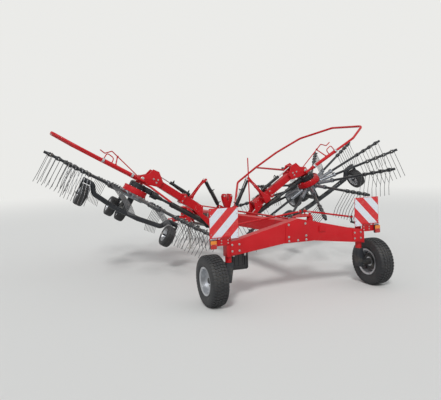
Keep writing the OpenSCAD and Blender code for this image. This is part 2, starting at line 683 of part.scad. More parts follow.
module castor(side) color("#8f9396") placed() on_side(side) in_rotor() translate([0, castor_y, 0]) {
    translate([0, 0, castor_top - 60]) cylinder(h = 60, d = 50);
    translate([0, 0, castor_top - 20]) cylinder(h = 120, d = wheel_pin);
    along_x([0, -castor_trail, -small_drop], 2*(small_w + 60), wheel_pin);
    along_x([0, -castor_trail, -small_drop], 2*(twin_x - 30 - fit), wheel_pin + 14);
    plate_yz([[-castor_trail - 25, -small_drop - 20], [-castor_trail + 25, -small_drop - 20],
        [22, castor_top - 40], [22, castor_top - 5], [-22, castor_top - 5]], 0, 34);
}
module small_wheel(x) translate([x, 0, 0]) rotate([0, 90, 0]) rotate_extrude() polygon([
    [wheel_pin/2 + fit, -30], [60, -30], [80, -10], [90, -small_w/2 + 20], [118, -small_w/2 + 8],
    [small_d/2 - 30, -small_w/2], [small_d/2 - 6, -small_w/2 + 22], [small_d/2, -small_w/4],
        [small_d/2, small_w/4],
    [small_d/2 - 6, small_w/2 - 22], [small_d/2 - 30, small_w/2], [118, small_w/2 - 8],
        [90, small_w/2 - 20],
    [80, 10], [60, 30], [wheel_pin/2 + fit, 30]]);
module wheel_fixed(side, end) color("#242527") placed() on_side(side) in_rotor()
    translate([0, -small_back, -small_drop]) small_wheel(end*small_s);
module wheel_twin(side) color("#242527") placed() on_side(side) in_rotor()
    translate([0, castor_y - castor_trail, -small_drop]) for (x = [-1, 1]*twin_x) small_wheel(x);

main_frame();
rear_axle();
warning_boards();
lamps();
wheel_chock();
central_gearbox();
drive_line();
headstock();
parking_jack();
bellcrank();
steering_rod();
for (s = sides) {
    tie_rod(s[1]);
    knuckle(s[1]);
    road_rim(s[1]);
    road_tyre(s[1]);
    outer_boom(s[1]);
    inner_boom(s[1]);
    lift_barrel(s[1]);
    lift_rod(s[1]);
    reach_barrel(s[1]);
    reach_rod(s[1]);
    shaft_tube(s[1]);
    rotor_gearbox(s[1]);
    rotor_head(s[1]);
    rotor_hub(s[1]);
    rotor_arms(s[1]);
    tines(s[1]);
    guard(s[1]);
    chassis(s[1]);
    castor(s[1]);
    wheel_fixed(s[1], 1);
    wheel_fixed(s[1], -1);
    wheel_twin(s[1]);
}
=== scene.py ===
# %% [markdown]
# # A twin rotor hay rake, parked with its booms up
# The solids come from the CAD model, which sets every size. This notebook dresses them: it rounds
# their edges, gives each surface a finish built from shader nodes, and adds the small pieces that a
# CAD model leaves out, such as bolts, spring coils, hoses, tread and welds.

import json
import math

import bmesh
import bpy
from mathutils import Matrix, Vector


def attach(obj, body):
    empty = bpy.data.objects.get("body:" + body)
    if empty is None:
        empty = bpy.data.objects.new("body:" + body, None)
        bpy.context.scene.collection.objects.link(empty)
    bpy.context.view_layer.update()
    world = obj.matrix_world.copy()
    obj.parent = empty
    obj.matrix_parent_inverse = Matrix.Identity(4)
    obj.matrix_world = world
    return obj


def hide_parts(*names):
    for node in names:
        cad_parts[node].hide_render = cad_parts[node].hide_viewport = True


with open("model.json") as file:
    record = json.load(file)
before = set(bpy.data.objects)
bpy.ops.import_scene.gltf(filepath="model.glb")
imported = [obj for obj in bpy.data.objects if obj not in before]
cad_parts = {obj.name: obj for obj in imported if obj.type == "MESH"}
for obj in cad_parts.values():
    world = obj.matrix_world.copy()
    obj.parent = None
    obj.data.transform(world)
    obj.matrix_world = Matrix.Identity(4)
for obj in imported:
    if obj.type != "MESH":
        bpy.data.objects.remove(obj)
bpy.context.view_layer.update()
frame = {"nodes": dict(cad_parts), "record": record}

# %% [markdown]
# ## Camera
# The camera stands where the photograph was taken: left of the machine and behind it, at about head
# height. Its place, turn and lens were found from points of the machine whose sizes are known. A
# small shift frames the machine as in the photograph without turning the camera.

# %% The camera
SENSOR, LENS, SHIFT = 36.0, 39.41, (0.1034, -0.0342)
YAW, PITCH, ROLL = 0.31203, 0.05405, -0.03959
CAMERA_PLACE = (-3.885, -8.591, 2.101)
camera_data = bpy.data.cameras.new("camera")
camera_data.sensor_width = SENSOR
camera_data.lens = LENS
camera_data.shift_x, camera_data.shift_y = SHIFT
camera_data.clip_end = 400
camera = bpy.data.objects.new("camera", camera_data)
bpy.context.collection.objects.link(camera)
ahead = Vector((math.sin(YAW) * math.cos(PITCH), math.cos(YAW) * math.cos(PITCH), -math.sin(PITCH)))
level = Vector((math.cos(YAW), -math.sin(YAW), 0))
above = level.cross(ahead)
right = level * math.cos(ROLL) + above * math.sin(ROLL)
top = above * math.cos(ROLL) - level * math.sin(ROLL)
turn = Matrix((right, top, -ahead)).transposed().to_4x4()
camera.matrix_world = Matrix.Translation(CAMERA_PLACE) @ turn
bpy.context.scene.camera = camera
bpy.context.scene.view_settings.view_transform = "Standard"

# %% [markdown]
# ## Shader maths in Python
# A material is a graph of nodes. Wiring one by hand takes a line for each link, so two classes do
# it: `Value` wraps a socket and lets `+`, `-`, `*` and `/` add Math nodes, and `Finish` owns one
# material and adds any other node with a single method.


# %% Values and finishes
class Value:
    """A shader socket on which Python's operators work."""

    def __init__(self, finish, socket):
        self.finish, self.socket = finish, socket

    def maths(self, operation, first, second):
        return self.finish.node("ShaderNodeMath", {"operation": operation}, {0: first, 1: second})

    def __add__(self, other):
        return self.maths("ADD", self, other)

    __radd__ = __add__

    def __sub__(self, other):
        return self.maths("SUBTRACT", self, other)

    def __rsub__(self, other):
        return self.maths("SUBTRACT", other, self)

    def __mul__(self, other):
        return self.maths("MULTIPLY", self, other)

    __rmul__ = __mul__

    def __truediv__(self, other):
        return self.maths("DIVIDE", self, other)

    def __rtruediv__(self, other):
        return self.maths("DIVIDE", other, self)


class Finish:
    """A material whose nodes are added by one method."""

    def __init__(self, name):
        self.material = bpy.data.materials.new(name)
        self.material.use_nodes = True
        self.tree = self.material.node_tree
        self.shader = self.tree.nodes["Principled BSDF"]
        coordinates = self.tree.nodes.new("ShaderNodeTexCoord")
        self.place = Value(self, coordinates.outputs["Object"])
        self.x, self.y, self.z = self.parts(self.place)
        self.normal = Value(self, coordinates.outputs["Normal"])
        self.up = self.parts(self.normal)[2]

    def node(self, kind, settings, inputs, out=0):
        made = self.tree.nodes.new(kind)
        for key, value in settings.items():
            setattr(made, key, value)
        for key, value in inputs.items():
            socket = made.inputs[key]
            if isinstance(value, Value):
                self.tree.links.new(value.socket, socket)
            elif hasattr(value, "__len__") and len(value) == 3 and len(socket.default_value) == 4:
                socket.default_value = (*value, 1)
            else:
                socket.default_value = value
        return Value(self, made.outputs[out])

    def parts(self, vector):
        split = self.tree.nodes.new("ShaderNodeSeparateXYZ")
        self.tree.links.new(vector.socket, split.inputs[0])
        return [Value(self, output) for output in split.outputs]

    def stretched(self, scale):
        return self.node("ShaderNodeMapping", {}, {"Vector": self.place, "Scale": scale})

    def noise(self, scale, detail=4.0, rough=0.55, where=None):
        return self.node("ShaderNodeTexNoise", {},
            {"Vector": where or self.place, "Scale": scale, "Detail": detail, "Roughness": rough})

    def between(self, value, low, high):
        """0 under low, 1 over high, and a smooth rise in between."""
        inputs = {"Value": value, "From Min": low, "From Max": high}
        return self.node("ShaderNodeMapRange", {"interpolation_type": "SMOOTHSTEP"}, inputs)

    def mix(self, factor, first, second):
        return self.node("ShaderNodeMix", {"data_type": "RGBA"},
            {0: factor, 6: first, 7: second}, out=2)

    def stored(self, name):
        return self.node("ShaderNodeAttribute", {"attribute_name": name}, {}, out=2)

    def use(self, colour, rough, metal=0.0, bumps=None, height=0.001, coat=0.0, shine=0.5):
        pairs = {"Base Color": colour, "Roughness": rough, "Metallic": metal,
            "Coat Weight": coat, "Specular IOR Level": shine}
        if bumps is not None:
            pairs["Normal"] = self.node("ShaderNodeBump", {}, {"Height": bumps, "Distance": height})
        for key, value in pairs.items():
            socket = self.shader.inputs[key]
            if isinstance(value, Value):
                self.tree.links.new(value.socket, socket)
            else:
                socket.default_value = (*value, 1) if hasattr(value, "__len__") else value
        return self.material


# %% [markdown]
# ## Stage
# A pale floor runs out to the horizon and fades into a pale world, so nothing distracts from the
# machine. One wide soft sun and an even world light it at a plain level: a colour renders about as
# it is written.

# %% Floor, world and light
PALE = (0.83, 0.83, 0.81)
FLOOR_REACH = 150.0
floor_finish = Finish("studio_floor")
distance = floor_finish.node("ShaderNodeVectorMath",
    {"operation": "LENGTH"}, {0: floor_finish.place}, out=1)
far = floor_finish.between(distance, 9.0, 24.0)
floor_finish.use((0.72, 0.72, 0.70), 0.9)
glow = floor_finish.node("ShaderNodeEmission", {}, {"Color": PALE, "Strength": 1.0})
shader_out = Value(floor_finish, floor_finish.shader.outputs[0])
blend = floor_finish.node("ShaderNodeMixShader", {}, {0: far, 1: shader_out, 2: glow})
floor_finish.tree.links.new(blend.socket, floor_finish.tree.nodes["Material Output"].inputs[0])
floor_mesh = bpy.data.meshes.new("floor")
corners = [(x * FLOOR_REACH, y * FLOOR_REACH, 0) for x, y in ((-1, -1), (1, -1), (1, 1), (-1, 1))]
floor_mesh.from_pydata(corners, [], [(0, 1, 2, 3)])
floor_mesh.materials.append(floor_finish.material)
floor = bpy.data.objects.new("floor", floor_mesh)
bpy.context.collection.objects.link(floor)

world = bpy.data.worlds.new("studio")
bpy.context.scene.world = world
world.use_nodes = True
nodes, links = world.node_tree.nodes, world.node_tree.links
seen = nodes["Background"]
seen.inputs[0].default_value = (*PALE, 1)
seen.inputs[1].default_value = 1.0
lit = nodes.new("ShaderNodeBackground")
lit.inputs[0].default_value = (0.95, 0.97, 1.0, 1)
lit.inputs[1].default_value = 0.50
path = nodes.new("ShaderNodeLightPath")
pick = nodes.new("ShaderNodeMixShader")
seen_by = path.outputs["Is Camera Ray"]
for ray in ("Is Glossy Ray", "Is Transmission Ray"):
    either = nodes.new("ShaderNodeMath")
    either.operation = "MAXIMUM"
    links.new(seen_by, either.inputs[0])
    links.new(path.outputs[ray], either.inputs[1])
    seen_by = either.outputs[0]
links.new(seen_by, pick.inputs[0])
links.new(lit.outputs[0], pick.inputs[1])
links.new(seen.outputs[0], pick.inputs[2])
links.new(pick.outputs[0], nodes["World Output"].inputs[0])

for name, strength, angle, turned in (("sun", 1.7, 12, (48, 0, -32)),
        ("fill", 0.35, 60, (62, 0, 60))):
    sun_data = bpy.data.lights.new(name, "SUN")
    sun_data.energy = strength
    sun_data.angle = math.radians(angle)
    sun = bpy.data.objects.new(name, sun_data)
    sun.rotation_euler = [math.radians(a) for a in turned]
    bpy.context.collection.objects.link(sun)

# %% [markdown]
# ## Finishes
# The paint is a bright signal red over most steel parts and a dark graphite on the arms and wheel
# legs. Field dust lies on what faces up and on what is low, edges are rubbed, and a fine ripple in
# the coat breaks the reflections. Each finish reads Object coordinates, so the grain has the same
# real size on every piece.

# %% Paint
DUST = (0.40, 0.35, 0.26)
finishes = {}


def paint(name, colour, rough, dusty, bare=(0.34, 0.33, 0.32), coat=0.25):
    f = Finish(name)
    tone = f.noise(1.7, 3)
    cloud = f.noise(9.0, 7, 0.62)
    speck = f.noise(70.0, 5, 0.7)
    streak = f.noise(24.0, 4, 0.6, f.stretched((1, 1, 0.12)))
    dark = tuple(c * 0.74 for c in colour)
    light = tuple(min(1.0, c * 1.10 + 0.012) for c in colour)
    low = 1 - f.between(f.z, 0.25, 1.1)
    dust = f.between(f.up, 0.25, 0.95) * f.between(cloud, 0.38, 0.66) * dusty
    splash = low * f.between(cloud + speck * 0.3, 0.60, 0.82) * (dusty * 0.8)
    run = f.between(streak, 0.60, 0.74) * 0.16 * dusty
    film = dust + splash + run
    worn = f.stored("worn") * f.between(speck + cloud * 0.6, 0.80, 0.92)
    chip = f.between(speck, 0.750, 0.775) * f.between(cloud, 0.52, 0.64) * 0.5
    coated = f.mix(tone, dark, light)
    rubbed = f.mix(worn + chip, coated, bare)
    colour_out = f.mix(film, rubbed, DUST)
    rough_out = rough + film * 0.42 + cloud * 0.12 - 0.06
    bumps = cloud * 0.35 + speck * 0.25 + film * 0.8 - (worn + chip) * 0.6
    finishes[name] = f.use(colour_out, rough_out, 0.0, bumps, 0.0014, coat, 0.22)


paint("red_paint", (0.54, 0.0025, 0.008), 0.40, 0.10, coat=0.04)
paint("graphite_paint", (0.024, 0.027, 0.032), 0.38, 0.16, (0.16, 0.16, 0.16), 0.1)
paint("black_paint", (0.012, 0.013, 0.015), 0.32, 0.14, (0.16, 0.16, 0.16), 0.2)


# %% [markdown]
# Bare and plated metals differ from paint in two ways: they are metallic, and their roughness
# changes in patches where the plating has dulled. Tine wire is dark spring steel with a few brown
# stains.


# %% Metals
def metal(name, colour, rough, stain=(0.20, 0.13, 0.08), stained=0.35, grain=30.0):
    f = Finish(name)
    cloud = f.noise(11.0, 7, 0.65)
    speck = f.noise(95.0, 4, 0.6)
    lines = f.noise(grain, 3)
    spots = f.between(cloud + speck * 0.35, 0.70, 0.86) * stained
    dust = f.between(f.up, 0.3, 1.0) * f.between(cloud, 0.42, 0.7) * (stained * 0.8)
    tinted = f.mix(lines, tuple(c * 0.86 for c in colour), colour)
    colour_out = f.mix(dust, f.mix(spots, tinted, stain), DUST)
    rough_out = rough + spots * 0.4 + dust * 0.45 + lines * 0.10 - 0.05
    finishes[name] = f.use(colour_out, rough_out, 1.0 - spots - dust,
        lines * 0.5 + spots + speck * 0.2, 0.0006)


metal("zinc_steel", (0.56, 0.56, 0.55), 0.38)
metal("silver_rim", (0.56, 0.575, 0.60), 0.44, stained=0.16)
metal("cast_silver", (0.25, 0.265, 0.29), 0.46, (0.10, 0.09, 0.08), 0.16, 60.0)
metal("chrome_rod", (0.80, 0.80, 0.81), 0.10, stained=0.06)
metal("tine_steel", (0.13, 0.133, 0.14), 0.40, stained=0.25, grain=120.0)


# %% [markdown]
# Rubber is dull and nearly black, and dust settles in it more than anything else on the machine.
# Moulded plastic has a fine even grain. The warning boards carry slanting red and white stripes,
# worked out from the height and the sideways place of each point.


# %% Rubber, plastic, boards and lenses
def rubber(name, colour=(0.011, 0.012, 0.014), dusty=0.14):
    f = Finish(name)
    cloud = f.noise(6.0, 7, 0.62)
    speck = f.noise(120.0, 4, 0.65)
    settled = f.between(cloud + speck * 0.25, 0.46, 0.82) * dusty
    groove = f.stored("groove") * f.between(cloud, 0.30, 0.62) * 0.34
    colour_out = f.mix(settled + groove,
        f.mix(cloud, colour, tuple(c * 1.9 for c in colour)), (0.125, 0.115, 0.100))
    finishes[name] = f.use(colour_out, 0.58 + settled * 0.3,
        0.0, speck * 0.5 + cloud * 0.4 + settled * 0.4, 0.0009)


def plastic(name, colour, rough=0.42, dusty=0.3):
    f = Finish(name)
    cloud = f.noise(8.0, 6, 0.6)
    grain = f.noise(420.0, 2)
    film = f.between(cloud, 0.45, 0.72) * f.between(f.up, -0.1, 0.9) * dusty
    colour_out = f.mix(film,
        f.mix(cloud, tuple(c * 0.8 for c in colour), tuple(c * 1.25 for c in colour)), DUST)
    finishes[name] = f.use(colour_out, rough + film * 0.35, 0.0, grain * 0.4 + cloud * 0.3, 0.0005)


rubber("tyre_rubber")
rubber("hose_rubber", (0.016, 0.016, 0.017), 0.25)
plastic("black_plastic", (0.020, 0.020, 0.022))
plastic("guard_plastic", (0.014, 0.014, 0.015), 0.38, 0.35)


def striped(name, side, board_x, board_z, width):
    f = Finish(name)
    across = (f.x - board_x) * side / width
    high = (f.z - board_z) / width
    along = (across + high) * 1.5 + 10.47
    phase = f.node("ShaderNodeMath", {"operation": "FRACT"}, {0: along})
    red = f.between(phase, 0.494, 0.506) - f.between(phase, 0.994, 1.0)
    cloud = f.noise(14.0, 7, 0.65)
    cells = f.node("ShaderNodeTexVoronoi", {"feature": "DISTANCE_TO_EDGE"},
        {"Vector": f.place, "Scale": 260.0})
    net = f.between(cells, 0.02, 0.10)
    colour = f.mix(red, f.mix(net, (0.58, 0.62, 0.68), (0.72, 0.76, 0.82)),
        f.mix(net, (0.50, 0.004, 0.010), (0.64, 0.008, 0.014)))
    film = f.between(cloud, 0.50, 0.78) * 0.30
    finishes[name] = f.use(f.mix(film, colour, (0.46, 0.42, 0.35)),
        0.30 + film, 0.0, net, 0.0003, 0.3)


def lens(name, split_z):
    f = Finish(name)
    lower = 1 - f.between(f.z, split_z - 0.001, split_z + 0.001)
    prism = f.node("ShaderNodeTexWave", {"bands_direction": "X"},
        {"Vector": f.place, "Scale": 95.0, "Distortion": 0.0})
    cloud = f.noise(25.0, 5)
    colour = f.mix(lower, f.mix(prism, (0.80, 0.19, 0.010), (0.95, 0.34, 0.03)),
        f.mix(prism, (0.42, 0.006, 0.006), (0.66, 0.02, 0.015)))
    finishes[name] = f.use(f.mix(f.between(cloud, 0.5, 0.8) * 0.22, colour, DUST),
        0.14, 0.0, prism, 0.0012, 0.5)


print("finishes", len(finishes))

# %% [markdown]
# ## Places on the machine
# Small parts sit on bolts, pins and tubes that lean and turn with the boom. Each of those has its
# own frame, and the left side is the right side mirrored. A frame here is a matrix that takes a
# point of the right-hand part to the machine.

# %% Frames of the boom, rotor, shaft and lift cylinder
AXLE_Y = -2.33
BOOM_TILT, HEAD_TURN, ROTOR_PITCH = 33.9, 4.5, 3.1
BOOM_Y = 0.15


def at(x, y, z):
    return Matrix.Translation((x, y, z))


def about(axis, degrees):
    return Matrix.Rotation(math.radians(degrees), 4, axis)


machine = at(0, AXLE_Y, 0)
boom_frame = at(0.34, BOOM_Y, 0.76) @ about("Y", -BOOM_TILT)
head_frame = boom_frame @ at(1.68, 0, -0.298) @ about("Y", HEAD_TURN)
rotor_frame = head_frame @ about("X", ROTOR_PITCH)
shaft_frame = boom_frame @ about("Y", 3.637)
flip = Matrix.Diagonal((-1, 1, 1, 1))
SIDES = (("l", -1), ("r", 1))
SIGN = {"l": -1, "r": 1, "": 1}
RIGHT, LEFT, AHEAD, BACK = (1, 0, 0), (-1, 0, 0), (0, 1, 0), (0, -1, 0)
UP, DOWN = (0, 0, 1), (0, 0, -1)
print("rotor centre", [round(c, 3) for c in rotor_frame.translation])


def on_side(side, matrix):
    """A frame of the right side as it is, or mirrored to the left."""
    return flip @ matrix if side < 0 else matrix


def lift_frame(side):
    """The lift cylinder's frame for the right side, which the mirror sets on its own side."""
    return at(0.1, BOOM_Y - side * 0.17, 1.1) @ about("Y", -63.466)


# %% [markdown]
# ## Rounded edges
# A CAD edge has no width, so it never catches light as a real one does. For each hard part the CAD
# mesh is copied, its loose triangles are joined, and its sharp edges get a narrow round. The strip
# along each edge is marked with an attribute, where the paint shows wear.
# The copy stands for its CAD node, whose own mesh is never changed.


# %% Dress the CAD nodes
SHARP = math.radians(34)  # an edge that turns by more than this gets a round


def finished(obj, body, finish_name, stands_for=()):
    """Give a mesh its finish and its body."""
    if finish_name in finishes and not obj.data.materials:
        obj.data.materials.append(finishes[finish_name])
    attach(obj, body)
    if stands_for:
        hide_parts(*stands_for)
    return obj


def sharpened(mesh, degrees):
    """Smooth shading with the sharp edges kept."""
    mesh.polygons.foreach_set("use_smooth", [True] * len(mesh.polygons))
    mesh.set_sharp_from_angle(angle=math.radians(degrees))


def linked(name, mesh):
    obj = bpy.data.objects.new(name, mesh)
    bpy.context.collection.objects.link(obj)
    return obj


def stem(node):
    """A node's name without its side."""
    return node[:-2] if node[-2:] in ("_l", "_r") else node


def slim_lever(work, side):
    """Draw the lift lever in to a narrow bar, above the boom and under its eye."""
    place = on_side(side, boom_frame)
    back = place.inverted()
    up = place.to_3x3() @ Vector(UP)
    for height in (0.262, 0.330, 0.480, 0.625):
        everything = list(work.verts) + list(work.edges) + list(work.faces)
        bmesh.ops.bisect_plane(work, geom=everything, dist=0.0001,
            plane_co=place @ Vector((0, 0, height)), plane_no=up)
    for vert in work.verts:
        p = back @ vert.co
        if 0.30 < p.z < 0.66:
            middle = 0.6125 - (p.z - 0.26) * 0.155
            p.x = middle + (p.x - middle) * 0.46
            vert.co = place @ p


def rounded(node, width):
    """A copy of a CAD node's mesh with narrow rounds along its sharp edges."""
    mesh = frame["nodes"][node].data.copy()
    mesh.materials.clear()
    work = bmesh.new()
    work.from_mesh(mesh)
    for layer in list(work.loops.layers.uv):
        work.loops.layers.uv.remove(layer)
    bmesh.ops.remove_doubles(work, verts=work.verts, dist=0.00004)
    bmesh.ops.dissolve_limit(work, angle_limit=math.radians(1.0),
        verts=work.verts, edges=work.edges)
    if node.startswith("boom_outer"):
        slim_lever(work, -1 if node.endswith("_l") else 1)
    layer = work.faces.layers.float.new("worn")
    sharp = [e for e in work.edges if len(e.link_faces) == 2 and e.calc_face_angle(0) > SHARP]
    sharp = [e for e in sharp if e.calc_length() > width * 0.5]
    made = bmesh.ops.bevel(work, geom=sharp, offset=width,
        segments=2, profile=0.6, affect="EDGES", clamp_overlap=True)
    for face in made["faces"]:
        face[layer] = 1.0
    work.to_mesh(mesh)
    work.free()
    if mesh.has_custom_normals:
        mesh.attributes.remove(mesh.attributes["custom_normal"])
    sharpened(mesh, 40)
    return mesh


body_of_node = {node: body
    for body, nodes in frame["record"]["behaviour"]["bodies"].items() for node in nodes}
slot_of_node = {part["node"]: part["material_slot"] for part in frame["record"]["subparts"]}
ROUNDS = (
    (0.005, "main_frame rear_axle central_gearbox"),
    (0.004, "headstock boom_outer boom_inner rotor_head rotor_gearbox knuckle"),
    (0.003, "castor chassis rotor_hub lift_barrel reach_barrel"),
    (0.002, "parking_jack bellcrank lift_rod steering_rod tie_rod"),
)
round_width = {base: width for width, names in ROUNDS for base in names.split()}
for node, obj in frame["nodes"].items():
    base = stem(node)
    finish_name = slot_of_node[node]
    if base in round_width:
        dressed = linked(node + "_dressed", rounded(node, round_width[base]))
        finished(dressed, body_of_node[node], finish_name, [node])
    elif finish_name in finishes:
        for slot in obj.material_slots:
            slot.material = finishes[finish_name]
print("dressed", sum(stem(node) in round_width for node in frame["nodes"]))

# %% [markdown]
# ## Simple forms
# Most added parts are turned, pressed or cut from plate, so a small builder on bmesh is enough: a
# block, a bar between two points, a profile turned solid or into a ring, and a plate. A form ends
# as one mesh in the machine's frame, with its faces pointing out and its edges rounded if asked.


# %% A builder for small parts
def axes(start, way):
    """A start point, and three directions of which the first is along the way."""
    along = Vector(way).normalized()
    across = along.orthogonal().normalized()
    return Vector(start), along, across, along.cross(across)


def capped(radius, height, top, top_radius):
    """A straight profile that narrows at its end."""
    return [(0, radius), (height, radius), (top, top_radius)]


PRISM = [(3, 2, 1, 0), (4, 5, 6, 7), (0, 1, 5, 4), (1, 2, 6, 5), (2, 3, 7, 6), (3, 0, 4, 7)]


def mm(*numbers):
    """Numbers in millimetres as a list of pairs in metres."""
    metres = [round(number / 1000, 7) for number in numbers]
    return list(zip(metres[::2], metres[1::2]))


class Form:
    """Hard parts built in a local frame and set in the machine in one go."""

    def __init__(self):
        self.work = bmesh.new()

    def add(self, points, faces):
        made = [self.work.verts.new(p) for p in points]
        for face in faces:
            self.work.faces.new([made[i] for i in face])
        return self

    def block(self, low, high):
        (a, b, c), (d, e, f) = low, high
        points = [(x, y, z) for x in (a, d) for y in (b, e) for z in (c, f)]
        return self.add(points,
            [(0, 1, 3, 2), (4, 6, 7, 5), (0, 4, 5, 1), (2, 3, 7, 6), (0, 2, 6, 4), (1, 5, 7, 3)])

    def turned(self, start, way, profile, sides=24):
        """A profile of (distance along, radius) turned about a line, with capped ends."""
        start, along, across, beside = axes(start, way)
        points, faces = [], []
        for step, radius in profile:
            centre = start + along * step
            for k in range(sides):
                a = 2 * math.pi * k / sides
                points.append(centre + (across * math.cos(a) + beside * math.sin(a)) * radius)
        for r in range(len(profile) - 1):
            for k in range(sides):
                n = (k + 1) % sides
                faces.append((r * sides + k, r * sides + n,
                    (r + 1) * sides + n, (r + 1) * sides + k))
        faces.append(tuple(reversed(range(sides))))
        last = (len(profile) - 1) * sides
        faces.append(tuple(last + k for k in range(sides)))
        return self.add(points, faces)

    def ring(self, start, way, profile, sides=32):
        """A closed profile turned about a line, with no caps."""
        start, along, across, beside = axes(start, way)
        count = len(profile)
        points, faces = [], []
        for k in range(sides):
            a = 2 * math.pi * k / sides
            out = across * math.cos(a) + beside * math.sin(a)
            points += [start + along * step + out * radius for step, radius in profile]
        for k in range(sides):
            n = (k + 1) % sides
            for r in range(count):
                s = (r + 1) % count
                faces.append((k * count + r, n * count + r, n * count + s, k * count + s))
        return self.add(points, faces)

    def bar(self, start, end, diameter, sides=20):
        way = Vector(end) - Vector(start)
        return self.turned(start, way, [(0, diameter / 2), (way.length, diameter / 2)], sides)

    def plate(self, outline, low, high, plane="xz"):
        """A flat outline given thickness along the axis that its plane leaves out."""
        def spot(p, w):
            return {"xz": (p[0], w, p[1]), "yz": (w, p[0], p[1]), "xy": (p[0], p[1], w)}[plane]
        n = len(outline)
        points = [spot(p, low) for p in outline] + [spot(p, high) for p in outline]
        faces = [tuple(reversed(range(n))), tuple(range(n, 2 * n))]
        faces += [(k, (k + 1) % n, n + (k + 1) % n, n + k) for k in range(n)]
        return self.add(points, faces)

    def mesh(self, where=None, side=1, soft=0.0, segments=2):
        """The form's mesh in the machine, mirrored for the left side."""
        bmesh.ops.recalc_face_normals(self.work, faces=self.work.faces)
        if soft:
            edges = [e for e in self.work.edges if len(e.link_faces) == 2
                and e.calc_face_angle(0) > SHARP]
            bmesh.ops.bevel(self.work, geom=edges, offset=soft, segments=segments,
                profile=0.6, affect="EDGES", clamp_overlap=True)
        matrix = on_side(side, where or Matrix.Identity(4))
        bmesh.ops.transform(self.work, matrix=matrix, verts=self.work.verts)
        if matrix.determinant() < 0:
            bmesh.ops.reverse_faces(self.work, faces=self.work.faces)
        mesh = bpy.data.meshes.new("form")
        self.work.to_mesh(mesh)
        self.work.free()
        sharpened(mesh, 38)
        return mesh


def titled(name, tag):
    """The name of a part of one side, or of the middle when there is no tag."""
    return name + "_" + tag if tag else name


def carrier_of(name, tag):
    """The body that a node or a body of this name is on."""
    full = name if name == "frame" else titled(name, tag)
    return body_of_node.get(full, full)


def piece(name, form, body, finish_name, where=None, tag="", soft=0.0, stands_for=()):
    obj = linked(titled(name, tag), form.mesh(where, SIGN[tag], soft))
    return finished(obj, carrier_of(body, tag), finish_name, stands_for)


# %% [markdown]
# ## Two geometry-node trees
# Everything that repeats comes from one tree, `copies`: it sets a small mesh on each point of a
# cloud, turned and scaled by what the point stores. Everything that follows a line comes from a
# second tree, `tubes`: it turns edges into round tubes. Both end in Realize Instances and Set
# Material, because an export drops instances, and the result is kept as a plain mesh.


# %% The trees
def new_tree(name, numbers):
    tree = bpy.data.node_groups.new(name, "GeometryNodeTree")
    face = tree.interface
    face.new_socket("Geometry", in_out="INPUT", socket_type="NodeSocketGeometry")
    for title, kind, value in numbers:
        made = face.new_socket(title, in_out="INPUT", socket_type=kind)
        if value is not None:
            made.default_value = value
    face.new_socket("Geometry", in_out="OUTPUT", socket_type="NodeSocketGeometry")
    return tree, tree.nodes.new("NodeGroupInput"), tree.nodes.new("NodeGroupOutput")


def wire(tree, pairs):
    for source, target in pairs:
        tree.links.new(source, target)


def stored_vector(tree, name):
    made = tree.nodes.new("GeometryNodeInputNamedAttribute")
    made.data_type = "FLOAT_VECTOR"
    made.inputs[0].default_value = name
    return made


copies, start, end = new_tree("copies", [("Part", "NodeSocketObject", None),
    ("Size", "NodeSocketFloat", 1.0), ("Finish", "NodeSocketMaterial", None)])
part = copies.nodes.new("GeometryNodeObjectInfo")
spread = copies.nodes.new("GeometryNodeInstanceOnPoints")
scaled = copies.nodes.new("GeometryNodeScaleInstances")
euler = copies.nodes.new("FunctionNodeEulerToRotation")
real = copies.nodes.new("GeometryNodeRealizeInstances")
coat = copies.nodes.new("GeometryNodeSetMaterial")
turns, sizes = stored_vector(copies, "turn"), stored_vector(copies, "size")
wire(copies, [
    (start.outputs["Part"], part.inputs["Object"]),
    (start.outputs["Geometry"], spread.inputs["Points"]),
    (part.outputs["Geometry"], spread.inputs["Instance"]),
    (turns.outputs[0], euler.inputs[0]),
    (euler.outputs[0], spread.inputs["Rotation"]),
    (sizes.outputs[0], spread.inputs["Scale"]),
    (spread.outputs[0], scaled.inputs["Instances"]),
    (start.outputs["Size"], scaled.inputs["Scale"]),
    (scaled.outputs[0], real.inputs[0]),
    (real.outputs[0], coat.inputs["Geometry"]),
    (start.outputs["Finish"], coat.inputs["Material"]),
    (coat.outputs[0], end.inputs[0]),
])

tubes, start, end = new_tree("tubes", [("Radius", "NodeSocketFloat", 0.01),
    ("Sides", "NodeSocketInt", 10), ("Finish", "NodeSocketMaterial", None)])
line = tubes.nodes.new("GeometryNodeMeshToCurve")
circle = tubes.nodes.new("GeometryNodeCurvePrimitiveCircle")
skin = tubes.nodes.new("GeometryNodeCurveToMesh")
skin.inputs["Fill Caps"].default_value = True
real = tubes.nodes.new("GeometryNodeRealizeInstances")
coat = tubes.nodes.new("GeometryNodeSetMaterial")
wire(tubes, [
    (start.outputs["Geometry"], line.inputs[0]),
    (line.outputs[0], skin.inputs[0]),
    (start.outputs["Sides"], circle.inputs["Resolution"]),
    (start.outputs["Radius"], circle.inputs["Radius"]),
    (circle.outputs[0], skin.inputs["Profile Curve"]),
    (skin.outputs[0], real.inputs[0]),
    (real.outputs[0], coat.inputs["Geometry"]),
    (start.outputs["Finish"], coat.inputs["Material"]),
    (coat.outputs[0], end.inputs[0]),
])


def grown(name, mesh, tree, values):
    """Run a tree on a mesh and keep the result as a plain mesh object."""
    source = linked(name + "_source", mesh)
    modifier = source.modifiers.new("grow", "NODES")
    modifier.node_group = tree
    for item in tree.interface.items_tree:
        if item.in_out == "INPUT" and item.name in values:
            modifier[item.identifier] = values[item.name]
    bpy.context.view_layer.update()
    evaluated = source.evaluated_get(bpy.context.evaluated_depsgraph_get())
    result = bpy.data.meshes.new_from_object(evaluated)
    source.modifiers.clear()
    bpy.data.objects.remove(source)
    sharpened(result, 38)
    return linked(name, result)


